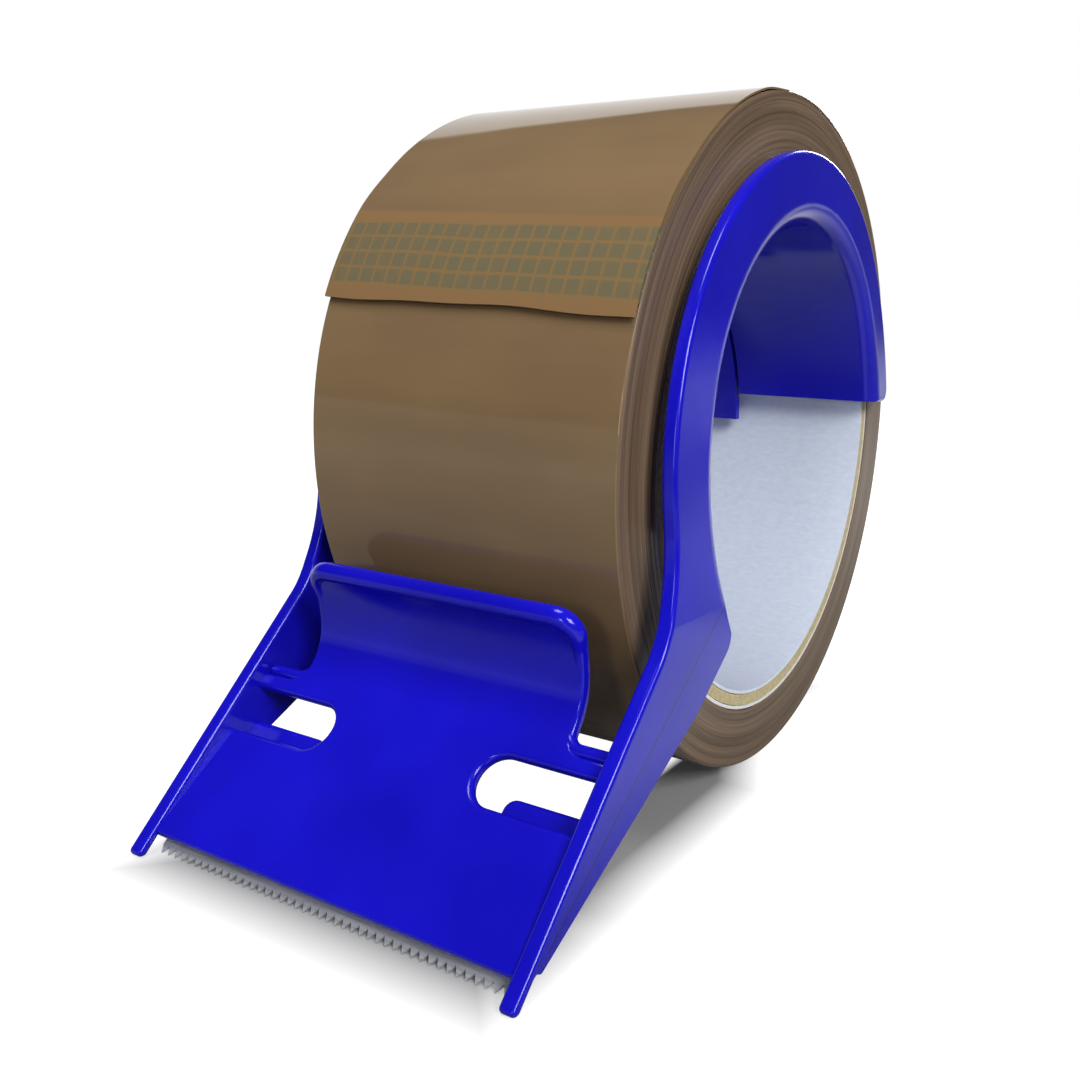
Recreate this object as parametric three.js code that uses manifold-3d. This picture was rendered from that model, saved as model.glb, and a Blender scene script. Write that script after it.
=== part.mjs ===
// Hand tape dispenser with a roll of packing tape on it. Millimetres, +Z up.
// X runs along the roll's axis and -Y towards the blade. It stands on the roll and on its two front toes.
import * as THREE from 'three';
import { mergeVertices } from 'three/addons/utils/BufferGeometryUtils.js';
import Module from 'manifold-3d';

const wasm = await Module();
wasm.setup();

// Roll of tape
const tapeWidth = 48;
const woundDepth = 8.9;
const tapeRound = 0.4;
const coreBore = 76.2;
const linerThickness = 0.5;
const boardThickness = 1.7;
const wrapThickness = 0.5;
const plySeam = 0.1;
const coreInset = 0.25;
const filmThickness = 0.25;
const filmSeam = 0.15;
const endLength = 52;
const tabThickness = 0.2;
const tabLength = 10.5;
const tabSetback = 1.7;

// Cheeks with their toes and skirts
const cheekWall = 2.2;
const cheekClearance = 4;
const cheekRound = 0.5;
const toeAhead = 3.2;
const toeThickness = 1.3;
const toeRound = 0.6;
const notchRise = 2.9;
const notchRound = 0.7;
const skirtGap = 1.1;
const skirtRise = 2.2;
const bellyRound = 9;
const heelLength = 10.4;
const heelDrop = 20.9;
const heelRound = 3;
const skirtRecess = 0.3;

// Arches over the core
const archCover = 8.4;
const archLead = 1.4;
const archDrop = 0.7;
const legSetback = 1.3;
const rearRise = 7.6;
const rearRound = 2;
const rimBlend = 9;

// Hub shells inside the core
const hubClearance = 0.3;
const hubSetback = 0.8;
const hubDrop = 1.6;
const hubWall = 1.5;
const hubGap = 0.8;
const hubFrontDrop = 6.6;
const leftHubRise = 2.6;
const mouthWidth = 3.2;
const mouthDepth = 2.8;

// How far the cheeks lean in above the plate, and how much more at the rear leg
const leanStart = 33;
const leanIn = 2.8;
const rearLean = 1.4;

// Sloping plate, with the fence that rises from it
const plateAhead = 24.8;
const plateLift = 2.7;
const plateThickness = 1.7;
const plateNose = 0.5;
const stripWidth = 2.2;
const stripRound = 0.7;
const fenceSetback = 3.7;
const fenceBend = 8.3;
const fenceCrown = 15;
const fenceBead = 2.6;
const fenceGap = 6.4;
const fenceCorner = 3.6;
const fenceFlare = 2.4;

// Slots at the plate's rear corners, and the tape guides below them
const slotStart = 15.9;
const slotWidth = 6.6;
const slotDepth = 16;
const slotRound = 3.2;
const guideLead = 0.7;
const guideWidth = 3.8;
const guideDepth = 13;
const guideThickness = 2;
const guideCorner = 1.6;
const guideRound = 0.5;
const tapeRoom = 1.8;

// Blade, and the lip under the plate that grips it
const bladeThickness = 0.5;
const bladeDepth = 7;
const bladeReach = 0.6;
const bladeClearance = 0.25;
const toothHeight = 1.1;
const bevelDepth = 1.6;
const edgeThickness = 0.1;
const lipStart = 3.5;
const lipWall = 0.9;
const lipRear = 2.2;

// How far a cut runs past what it cuts, and how far a joined piece reaches into its neighbour
const overrun = 4;
const lap = 0.5;

// Angles in degrees, and counts
const plateAngle = 41.4;
const rimAngle = 45.6;
const skirtAngle = 27.5;
const seamAngle = 36.2;
const crownAngle = 30;
const freeEndAngle = 158;
const quarterTurn = 90;
const halfTurn = 180;
const fullTurn = 360;
const teeth = 44;
const arcStep = 5;
const rollSides = 96;
const blendSteps = 5;
const roundSteps = 2;
const leanSteps = 5;

const linerOuter = coreBore / 2 + linerThickness;
const boardOuter = linerOuter + plySeam + boardThickness;
const wrapOuter = boardOuter + plySeam + wrapThickness;
const coreWidth = tapeWidth - 2 * coreInset;
const rollRadius = wrapOuter + plySeam + woundDepth;
const innerX = tapeWidth / 2 + cheekClearance;
const outerX = innerX + cheekWall;
const fenceX = innerX - fenceGap;
const hubOuter = coreBore / 2 - hubClearance - Math.hypot(hubSetback, hubDrop);
const hubInner = hubOuter - hubWall;
const legRadius = hubInner + legSetback;
const archRadius = hubOuter + archCover;
const plateFront = rollRadius + plateAhead;
const toeFront = plateFront + toeAhead;
const slotEnd = slotStart + slotWidth;
const stripEnd = slotEnd + stripWidth;

const { degToRad, radToDeg } = THREE.MathUtils;
const point = (a, b) => new THREE.Vector2(a, b);
const along = (from, degrees, distance) =>
  point(from.x + Math.cos(degToRad(degrees)) * distance, from.y + Math.sin(degToRad(degrees)) * distance);
const bearing = (from, to) => radToDeg(Math.atan2(to.y - from.y, to.x - from.x));
const bearingAtRise = (radius, rise) => radToDeg(Math.asin(rise / radius));

// In the side view, a point's first number is its Y and its second its Z.
const hubCentre = point(hubSetback, rollRadius - hubDrop);
const archCentre = point(hubCentre.x - archLead, hubCentre.y - archDrop);

// A side-view point on the plate: up its slope from the front edge, and above its upper face.
function onSlope(up, above) {
  return along(along(point(-plateFront, plateLift), plateAngle, up), plateAngle + quarterTurn, above);
}

function arc(centre, radius, from, to) {
  const steps = Math.max(1, Math.ceil(Math.abs(to - from) / arcStep));
  return Array.from({ length: steps + 1 }, (_, i) => along(centre, from + ((to - from) * i) / steps, radius));
}

// The arc that rounds a corner off, between its neighbours.
function corner(before, vertex, after, radius) {
  const back = before.clone().sub(vertex).normalize();
  const on = after.clone().sub(vertex).normalize();
  const half = Math.acos(back.dot(on)) / 2;
  const centre = back.clone().add(on).normalize().multiplyScalar(radius / Math.sin(half)).add(vertex);
  const reach = radius / Math.tan(half);
  const first = back.multiplyScalar(reach).add(vertex).sub(centre);
  const last = on.multiplyScalar(reach).add(vertex).sub(centre);
  const start = radToDeg(Math.atan2(first.y, first.x));
  return arc(centre, radius, start, start + radToDeg(Math.atan2(first.cross(last), first.dot(last))));
}

// A closed outline of corners, each with its own rounding, where 0 leaves it sharp.
function roundedOutline(corners) {
  const vertexAt = (i) => corners[(i + corners.length) % corners.length][0];
  return corners.flatMap(([vertex, radius], i) =>
    (radius > 0 ? corner(vertexAt(i - 1), vertex, vertexAt(i + 1), radius) : [vertex]));
}

// An outline drawn out along Z, with its edges rounded inwards.
function prism(outline, from, to, round = 0) {
  return new THREE.ExtrudeGeometry(new THREE.Shape(outline), {
    depth: to - from - 2 * round,
    steps: 1,
    bevelEnabled: round > 0,
    bevelThickness: round,
    bevelSize: round,
    bevelOffset: -round,
    bevelSegments: roundSteps,
  }).translate(0, 0, from + round);
}

const sideView = new THREE.Matrix4().set(0, 0, 1, 0, 1, 0, 0, 0, 0, 1, 0, 0, 0, 0, 0, 1);
const frontView = new THREE.Matrix4().makeRotationX(Math.PI / 2);
const plateView = new THREE.Matrix4().makeRotationX(degToRad(plateAngle)).setPosition(0, -plateFront, plateLift);

const acrossX = (outline, from, to, round) => prism(outline, from, to, round).applyMatrix4(sideView);
const overPlate = (outline, from, to, round) => prism(outline, from, to, round).applyMatrix4(plateView);

function solid(geometry) {
  const bare = geometry.clone();
  bare.deleteAttribute('normal');
  bare.deleteAttribute('uv');
  const merged = mergeVertices(bare);
  const corners = Array.from(merged.index.array);
  const facets = corners.filter((_, i) => {
    const [a, b, c] = corners.slice(i - (i % 3), i - (i % 3) + 3);
    return a !== b && b !== c && c !== a;
  });
  return new wasm.Manifold(new wasm.Mesh({
    numProp: 3,
    vertProperties: new Float32Array(merged.attributes.position.array),
    triVerts: new Uint32Array(facets),
  }));
}

function geometryOf(manifold) {
  const { vertProperties, triVerts } = manifold.getMesh();
  const geometry = new THREE.BufferGeometry();
  geometry.setAttribute('position', new THREE.BufferAttribute(vertProperties, 3));
  geometry.setIndex(new THREE.BufferAttribute(triVerts, 1));
  geometry.computeVertexNormals();
  return geometry;
}

const joined = (manifolds) => manifolds.reduce((whole, piece) => whole.add(piece));

// Where a line first meets a circle.
function lineMeetsCircle(from, degrees, centre, radius) {
  const toCentre = centre.clone().sub(from);
  const middle = toCentre.dot(along(point(0, 0), degrees, 1));
  return along(from, degrees, middle - Math.sqrt(radius ** 2 - toCentre.lengthSq() + middle ** 2));
}

// Toe, skirt and heel of a cheek, as side-view points.
const rimRun = 1 / Math.sin(degToRad(rimAngle));
const toeTip = point(-toeFront, 0);
const toeHeel = point(-toeFront + toeThickness * rimRun, 0);
const notch = along(toeHeel, rimAngle, notchRise * rimRun);
const skirtToe = point(notch.x + skirtGap, skirtRise);
const heelBearing = halfTurn + bearingAtRise(legRadius, heelDrop);
const heel = along(hubCentre, heelBearing, legRadius);
const bellyRun = heel.x - heelLength - skirtToe.x;
const belly = along(skirtToe, skirtAngle, bellyRun / Math.cos(degToRad(skirtAngle)));

// A cheek and its arch are one outline: toe, skirt, heel, inner edge, rear leg, outer arch and front rim.
function cheekOutline() {
  const rearBearing = bearingAtRise(archRadius, rearRise + archDrop);
  const rearInner = along(hubCentre, bearingAtRise(legRadius, rearRise), legRadius);
  const rearOuter = along(archCentre, rearBearing, archRadius);
  const rimTop = lineMeetsCircle(toeTip, rimAngle, archCentre, archRadius);
  const rimEnd = along(rimTop, rimAngle + halfTurn, rimBlend);
  const archEnd = bearing(archCentre, rimTop) + fullTurn - radToDeg(rimBlend / archRadius);
  const archFoot = along(archCentre, archEnd, archRadius);
  const blend = new THREE.CubicBezierCurve(
    archFoot,
    along(archFoot, archEnd + quarterTurn, rimBlend / 2),
    along(rimEnd, rimAngle, rimBlend / 2),
    rimEnd,
  );
  return [
    ...corner(rimEnd, toeTip, toeHeel, toeRound),
    ...corner(toeTip, toeHeel, notch, toeRound),
    ...corner(toeHeel, notch, skirtToe, notchRound),
    ...corner(notch, skirtToe, belly, notchRound),
    ...corner(skirtToe, belly, heel, bellyRound),
    ...corner(belly, heel, along(hubCentre, heelBearing - arcStep, legRadius), heelRound),
    ...arc(hubCentre, legRadius, heelBearing - arcStep, bearingAtRise(legRadius, rearRise)),
    ...corner(rearInner, rearOuter, along(archCentre, rearBearing + arcStep, archRadius), rearRound),
    ...arc(archCentre, archRadius, rearBearing + arcStep, archEnd),
    ...blend.getPoints(blendSteps).slice(1),
  ];
}

// A shell inside the core, from behind the front leg over the top to the rear, cut level at both ends.
function hubOutline(rise) {
  const end = (radius) => bearingAtRise(radius, rise);
  const start = (radius) => halfTurn + bearingAtRise(radius, hubFrontDrop);
  return [
    ...arc(hubCentre, hubOuter, end(hubOuter), start(hubOuter)),
    ...arc(hubCentre, hubInner, start(hubInner), end(hubInner)),
  ];
}

// The rounded mouth that a finger meets at the outer end of a hub.
function mouthCut() {
  const profile = [point(0, outerX - mouthDepth)];
  for (let i = 0; i <= blendSteps; i += 1) {
    const turn = (Math.PI / 2) * (i / blendSteps);
    profile.push(point(
      hubInner + mouthWidth * (1 - Math.cos(turn)), outerX - mouthDepth * (1 - Math.sin(turn))));
  }
  profile.push(point(hubInner + mouthWidth, outerX + overrun), point(0, outerX + overrun));
  return new THREE.LatheGeometry(profile, rollSides)
    .rotateZ(-Math.PI / 2)
    .translate(0, hubCentre.x, hubCentre.y);
}

// The skirt stands back a little from the cheek's outer face, below a line that starts at the notch.
function skirtCut() {
  const far = along(notch, seamAngle, (heel.x + overrun - notch.x) / Math.cos(degToRad(seamAngle)));
  const outline = [notch, point(notch.x, -overrun), point(far.x, -overrun), far];
  return acrossX(outline, outerX - skirtRecess, outerX + overrun);
}

// Above the plate a side leans in towards the roll, fastest at the arch's foot, and more at the rear leg.
const leanRun = archCentre.y + archRadius - leanStart;
function leanTowardsRoll(vertex) {
  const up = Math.max(0, vertex[2] - leanStart) / leanRun;
  const back = Math.max(0, vertex[1] - heel.x) / (archCentre.x + archRadius - heel.x);
  vertex[0] *= 1 - (leanIn * up * (2 - up) + rearLean * back ** 2) / outerX;
}

// A side is cut into level slices before it leans, so that its faces can follow the bend.
function leaned(upright) {
  const slices = [];
  let rest = upright;
  for (let i = 0; i < leanSteps; i += 1) {
    const [above, below] = rest.splitByPlane([0, 0, 1], leanStart + (leanRun * i) / leanSteps);
    slices.push(below);
    rest = above;
  }
  return joined([...slices, rest].map((slice) => slice.warp(leanTowardsRoll)));
}

// One side of the frame: cheek with arch, hub shell and tape guide. The right one; the left is its mirror.
function side(hubRise) {
  const guideBack = -(plateThickness + tapeRoom + guideThickness);
  const guideStart = slotStart - guideLead;
  const guideOutline = roundedOutline([
    [point(innerX - guideDepth, guideStart), guideCorner],
    [point(innerX + cheekWall / 2, guideStart), 0],
    [point(innerX + cheekWall / 2, guideStart + guideWidth), 0],
    [point(innerX - guideDepth, guideStart + guideWidth), guideCorner],
  ]);
  const upright = joined([
    solid(acrossX(cheekOutline(), innerX, outerX, cheekRound)),
    solid(acrossX(hubOutline(hubRise), hubGap / 2, outerX)),
    solid(overPlate(guideOutline, guideBack, guideBack + guideThickness, guideRound)),
  ]).subtract(solid(mouthCut())).subtract(solid(skirtCut()));
  return leaned(upright);
}

// The plate between the cheeks, with the two slots cut through it.
function plate() {
  const profile = roundedOutline([
    [onSlope(0, 0), plateNose],
    [onSlope(0, -plateThickness), plateNose],
    [onSlope(stripEnd, -plateThickness), stripRound],
    [onSlope(stripEnd, 0), stripRound],
  ]);
  const slot = [
    [point(innerX - slotDepth, slotStart), slotRound],
    [point(innerX + overrun, slotStart), 0],
    [point(innerX + overrun, slotEnd), 0],
    [point(innerX - slotDepth, slotEnd), slotRound],
  ];
  const cut = solid(overPlate(roundedOutline(slot), -plateThickness - overrun, overrun));
  return solid(acrossX(profile, -innerX - lap, innerX + lap)).subtract(cut).subtract(cut.mirror([1, 0, 0]));
}

// The fence: a sheet that bends up out of the plate and leans forward to a rounded bead.
function fence() {
  const start = stripEnd - lap;
  const bendAt = slotEnd + fenceSetback;
  const bend = onSlope(bendAt, fenceBend);
  const crown = point(bend.x + fenceBend - fenceCrown, bend.y);
  const sheet = [
    onSlope(start, 0),
    ...arc(bend, fenceBend, plateAngle - quarterTurn, 0),
    ...arc(crown, fenceCrown, 0, crownAngle).slice(1),
    ...arc(crown, fenceCrown + plateThickness, crownAngle, 0),
    ...arc(bend, fenceBend + plateThickness, 0, plateAngle - quarterTurn).slice(1),
    onSlope(start, -plateThickness),
  ];
  const beadCentre = along(crown, crownAngle, fenceCrown + plateThickness / 2);
  const top = beadCentre.y + fenceBead / 2;
  const foot = onSlope(stripEnd, 0).y;
  const face = roundedOutline([
    [point(-innerX, foot - overrun), 0],
    [point(innerX, foot - overrun), 0],
    [point(innerX, foot), 0],
    [point(fenceX, foot), fenceFlare],
    [point(fenceX, top), fenceCorner],
    [point(-fenceX, top), fenceCorner],
    [point(-fenceX, foot), fenceFlare],
    [point(-innerX, foot), 0],
  ]);
  return solid(acrossX(sheet, -innerX, innerX))
    .add(solid(acrossX(arc(beadCentre, fenceBead / 2, 0, fullTurn - arcStep), -innerX, innerX)))
    .intersect(solid(prism(face, 0, plateFront).applyMatrix4(frontView)));
}

// The lip below the plate, which grips the blade's rear half.
function bladeLip() {
  const top = -(plateThickness + bladeThickness + 2 * bladeClearance);
  const grooveEnd = bladeDepth + bladeClearance;
  const outline = [
    onSlope(lipStart, top),
    onSlope(grooveEnd, top),
    onSlope(grooveEnd, lap - plateThickness),
    onSlope(grooveEnd + lipRear + lipWall, lap - plateThickness),
    onSlope(grooveEnd + lipRear, top - lipWall),
    onSlope(lipStart, top - lipWall),
  ];
  return solid(acrossX(outline, -innerX - lap, innerX + lap));
}

// The blade lies flat in its own plane: teeth towards -Y, upper face at zero height.
function bladeSolid() {
  const half = innerX - bladeClearance;
  const pitch = (2 * half) / teeth;
  const outline = [point(half, bladeDepth), point(-half, bladeDepth)];
  const tip = -bladeReach - toothHeight;
  for (let i = 0; i < teeth; i += 1) {
    outline.push(point(-half + pitch * i, -bladeReach), point(-half + pitch * (i + 0.5), tip));
  }
  outline.push(point(half, -bladeReach));
  const bevel = [
    point(tip + bevelDepth, -bladeThickness),
    point(tip, -edgeThickness),
    point(tip - overrun, -edgeThickness),
    point(tip - overrun, -bladeThickness - overrun),
    point(tip + bevelDepth, -bladeThickness - overrun),
  ];
  return solid(prism(outline, -bladeThickness, 0))
    .subtract(solid(acrossX(bevel, -innerX - overrun, innerX + overrun)));
}

// A tube about the roll's axis, its profile closed, with rounded outer edges where wanted.
function tube(inner, outer, width, round = 0) {
  const half = width / 2;
  const profile = [
    point(inner, -half), point(outer - round, -half), point(outer, round - half),
    point(outer, half - round), point(outer - round, half), point(inner, half), point(inner, -half),
  ].filter((p, i, all) => i === 0 || p.distanceTo(all[i - 1]) > 0);
  return new THREE.LatheGeometry(profile, rollSides).rotateZ(-Math.PI / 2);
}

// A strip laid round the roll, from one bearing to another, at a height above the tape that may vary.
function strip(from, to, height, thickness) {
  const steps = Math.ceil(Math.abs(to - from) / (arcStep / 2));
  const centre = point(0, 0);
  const edge = (extra) => Array.from({ length: steps + 1 }, (_, i) => {
    const degrees = from + ((to - from) * i) / steps;
    return along(centre, degrees, rollRadius + height(degrees) + extra);
  });
  return acrossX([...edge(0), ...edge(thickness).reverse()], -tapeWidth / 2, tapeWidth / 2);
}

const onRoll = (length) => radToDeg(length / rollRadius);
const tabStart = freeEndAngle - onRoll(tabSetback);
const tabEnd = tabStart - onRoll(tabLength);

// The free end lies over the starter tab and settles on the tape behind it.
function endHeight(degrees) {
  const settled = THREE.MathUtils.smoothstep(tabEnd - degrees, onRoll(tabSetback), onRoll(tabLength));
  return filmSeam + (tabThickness + filmSeam) * (1 - settled);
}

function mesh(name, geometry, color, roughness, metalness = 0) {
  const piece = new THREE.Mesh(geometry, new THREE.MeshStandardMaterial({ color, roughness, metalness }));
  piece.name = name;
  return piece;
}

const frameSolid = joined([side(rearRise), side(leftHubRise).mirror([1, 0, 0]), plate(), fence(), bladeLip()]);
const frame = mesh('frame', geometryOf(frameSolid), 0x1c18be, 0.22);

const blade = mesh('blade', geometryOf(bladeSolid()), 0xa9abac, 0.35, 0.9);
const bladeSeat = new THREE.Group();
const bladeTop = onSlope(0, -plateThickness - bladeClearance);
bladeSeat.position.set(0, bladeTop.x, bladeTop.y);
bladeSeat.rotation.x = degToRad(plateAngle);
bladeSeat.add(blade);

const roll = new THREE.Group();
roll.position.z = rollRadius;
roll.add(
  mesh('core_liner', tube(coreBore / 2, linerOuter, coreWidth), 0xb9c8dc, 0.8),
  mesh('core_board', tube(linerOuter + plySeam, boardOuter, coreWidth), 0xb6a67c, 0.9),
  mesh('core_wrap', tube(boardOuter + plySeam, wrapOuter, coreWidth), 0xd9dadb, 0.8),
  mesh('tape_winding', tube(wrapOuter + plySeam, rollRadius, tapeWidth, tapeRound), 0x7d6746, 0.25),
  mesh('starter_tab', strip(tabStart, tabEnd, () => filmSeam, tabThickness), 0x7b7858, 0.5),
  mesh('tape_end', strip(freeEndAngle, freeEndAngle - onRoll(endLength), endHeight, filmThickness), 0x86704b, 0.2),
);

const dispenser = new THREE.Group();
dispenser.add(frame, bladeSeat, roll);

// The origin is on the standing surface, under the middle of the whole.
const extent = new THREE.Box3().setFromObject(dispenser);
dispenser.position.y = -(extent.min.y + extent.max.y) / 2;

export default dispenser;
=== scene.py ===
"""Hand tape dispenser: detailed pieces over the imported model, their finishes, floor, lamps and camera."""
import logging
import math
from collections.abc import Callable, Sequence
from dataclasses import dataclass
from enum import Enum

import bmesh
import bpy
import numpy as np
from mathutils import Euler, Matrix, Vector


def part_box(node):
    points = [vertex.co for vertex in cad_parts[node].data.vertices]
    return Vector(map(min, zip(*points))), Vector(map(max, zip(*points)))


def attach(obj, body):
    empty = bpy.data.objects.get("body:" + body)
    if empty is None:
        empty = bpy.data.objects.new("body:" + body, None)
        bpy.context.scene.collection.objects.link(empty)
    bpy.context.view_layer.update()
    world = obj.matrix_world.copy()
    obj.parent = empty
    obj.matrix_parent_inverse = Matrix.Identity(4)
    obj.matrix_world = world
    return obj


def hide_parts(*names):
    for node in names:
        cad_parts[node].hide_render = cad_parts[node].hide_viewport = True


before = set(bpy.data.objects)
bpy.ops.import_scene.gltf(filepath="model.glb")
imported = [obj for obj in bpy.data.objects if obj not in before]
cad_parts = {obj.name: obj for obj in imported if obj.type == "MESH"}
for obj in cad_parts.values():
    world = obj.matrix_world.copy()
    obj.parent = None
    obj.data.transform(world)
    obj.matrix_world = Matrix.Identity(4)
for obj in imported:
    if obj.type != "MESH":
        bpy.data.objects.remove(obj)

log = logging.getLogger("tape_dispenser")

MILLIMETRE = 0.001
# Points nearer than this count as one where a mesh is cut, in millimetres.
SAME_PLACE = 1e-5
# Edges that turn more than this stay sharp, and large faces decide the shading at the others.
SHARP_DEGREES = 32.0
LARGE_FACES = 100
# A face of the winding belongs to its side where its normal's X is over this.
SIDEWAYS = 0.7
# A noise's values lie mostly in this span.
NOISE_SPAN = (0.3, 0.7)
WHITE = (1.0, 1.0, 1.0, 1.0)
MIRROR = np.array([-1.0, 1.0, 1.0])
Point = tuple[float, float]
Rounded = tuple[Point, float]
Place = tuple[float, float, float]
Scale = tuple[float, float, float]
Wave = tuple[float, float, float]
Faces = list[tuple[int, ...]]
Socket = bpy.types.NodeSocket


class Body(Enum):
    """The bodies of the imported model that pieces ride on."""

    HOLDER = "holder"
    ROLL = "roll"


class Slot(Enum):
    """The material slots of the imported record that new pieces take."""

    FRAME = "frame"
    TAPE = "tape"
    TAB = "tab"


class Cut(Enum):
    """What one solid does to another."""

    JOIN = "UNION"
    REMOVE = "DIFFERENCE"


def linear(colour: int) -> tuple[float, float, float, float]:
    """Turns a screen colour into the linear colour that a shader takes.

    Args:
        colour: The colour as red, green and blue bytes in one number.

    Returns:
        Red, green, blue and alpha between 0 and 1.
    """
    parts = [((colour >> move) & 255) / 255 for move in (16, 8, 0)]
    red, green, blue = (c / 12.92 if c <= 0.04045 else ((c + 0.055) / 1.055) ** 2.4 for c in parts)
    return red, green, blue, 1.0


def along(start: Point, degrees: float, distance: float) -> Point:
    """The point at a distance from another, in a direction in degrees."""
    turn = math.radians(degrees)
    return start[0] + math.cos(turn) * distance, start[1] + math.sin(turn) * distance


def bearing(start: Point, end: Point) -> float:
    """The direction from one point to another, in degrees."""
    return math.degrees(math.atan2(end[1] - start[1], end[0] - start[0]))


def bearing_at_rise(radius: float, rise: float) -> float:
    """The direction at which a circle's point lies a given height over its centre, in degrees."""
    return math.degrees(math.asin(rise / radius))


def arc(centre: Point, radius: float, start: float, stop: float, step: float = 1.5) -> list[Point]:
    """Points on an arc.

    Args:
        centre: The arc's centre.
        radius: Its radius.
        start: The direction of its first point, in degrees.
        stop: The direction of its last point.
        step: The largest turn between two points.

    Returns:
        The points, both ends among them.
    """
    count = max(1, math.ceil(abs(stop - start) / step))
    return [along(centre, start + (stop - start) * i / count, radius) for i in range(count + 1)]


def corner(before: Point, vertex: Point, after: Point, radius: float, step: float = 9.0) -> list[Point]:
    """The arc that rounds a corner off.

    Args:
        before: The corner's neighbour on one side.
        vertex: The corner.
        after: Its neighbour on the other side.
        radius: The arc's radius.
        step: The largest turn between two points, in degrees.

    Returns:
        The arc's points.
    """
    at = np.array(vertex)
    back = (np.array(before) - at) / np.linalg.norm(np.array(before) - at)
    ahead = (np.array(after) - at) / np.linalg.norm(np.array(after) - at)
    half = math.acos(float(back @ ahead)) / 2
    middle = back + ahead
    centre = at + middle / np.linalg.norm(middle) * radius / math.sin(half)
    first = at + back * radius / math.tan(half) - centre
    last = at + ahead * radius / math.tan(half) - centre
    start = math.degrees(math.atan2(first[1], first[0]))
    turn = math.degrees(math.atan2(first[0] * last[1] - first[1] * last[0], float(first @ last)))
    return arc((float(centre[0]), float(centre[1])), radius, start, start + turn, step)


def rounded(corners: Sequence[Rounded]) -> list[Point]:
    """A closed outline with its corners rounded.

    Args:
        corners: Each corner with its radius, where 0 leaves it sharp.

    Returns:
        The outline's points.
    """
    points: list[Point] = []
    for i, (vertex, radius) in enumerate(corners):
        before, after = corners[i - 1][0], corners[(i + 1) % len(corners)][0]
        points += corner(before, vertex, after, radius) if radius > 0 else [vertex]
    return points


def eased_bend(steered: Sequence[Point], steps: int = 12) -> list[Point]:
    """A smooth bend from one point to another.

    Args:
        steered: The first point, the two points that steer the bend, and the last point.
        steps: How many steps it takes.

    Returns:
        The bend's points, without the first.
    """
    points: list[Point] = []
    for i in range(1, steps + 1):
        t = i / steps
        weights = ((1 - t) ** 3, 3 * t * (1 - t) ** 2, 3 * t * t * (1 - t), t**3)
        y, z = (sum(weight * point[axis] for weight, point in zip(weights, steered)) for axis in (0, 1))
        points.append((y, z))
    return points


def quarter_round(wide: float, high: float, steps: int = 6) -> list[Point]:
    """The quarter of an ellipse that rounds an edge off.

    Args:
        wide: How far it reaches from the edge along one face.
        high: How far it reaches along the other.
        steps: How many steps it takes.

    Returns:
        Each point's distances from the two faces that meet at the edge.
    """
    turns = [math.pi / 2 * i / steps for i in range(steps + 1)]
    return [(wide * (1 - math.cos(t)), high * (1 - math.sin(t))) for t in turns]


def line_meets_circle(start: Point, degrees: float, centre: Point, radius: float) -> Point:
    """Where a line first meets a circle.

    Args:
        start: A point of the line.
        degrees: The line's direction.
        centre: The circle's centre.
        radius: Its radius.

    Returns:
        The first meeting point.
    """
    way = np.array([centre[0] - start[0], centre[1] - start[1]])
    middle = float(way @ np.array(along((0.0, 0.0), degrees, 1.0)))
    return along(start, degrees, middle - math.sqrt(radius**2 - float(way @ way) + middle**2))


def smooth_step(value: float) -> float:
    """Eases a number from 0 to 1, and holds it outside."""
    held = min(1.0, max(0.0, value))
    return held * held * (3 - 2 * held)


def stacked_faces(levels: int, count: int) -> Faces:
    """The faces of a body that is a stack of rings with both ends closed.

    Args:
        levels: How many rings there are.
        count: How many points each ring has.

    Returns:
        The points' numbers, face by face: the first end, the sides and the last end.
    """
    faces: Faces = [tuple(range(count))[::-1]]
    for level in range(levels - 1):
        low, high = level * count, (level + 1) * count
        for i in range(count):
            ahead = (i + 1) % count
            faces.append((low + i, low + ahead, high + ahead, high + i))
    faces.append(tuple(range((levels - 1) * count, levels * count)))
    return faces


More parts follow.
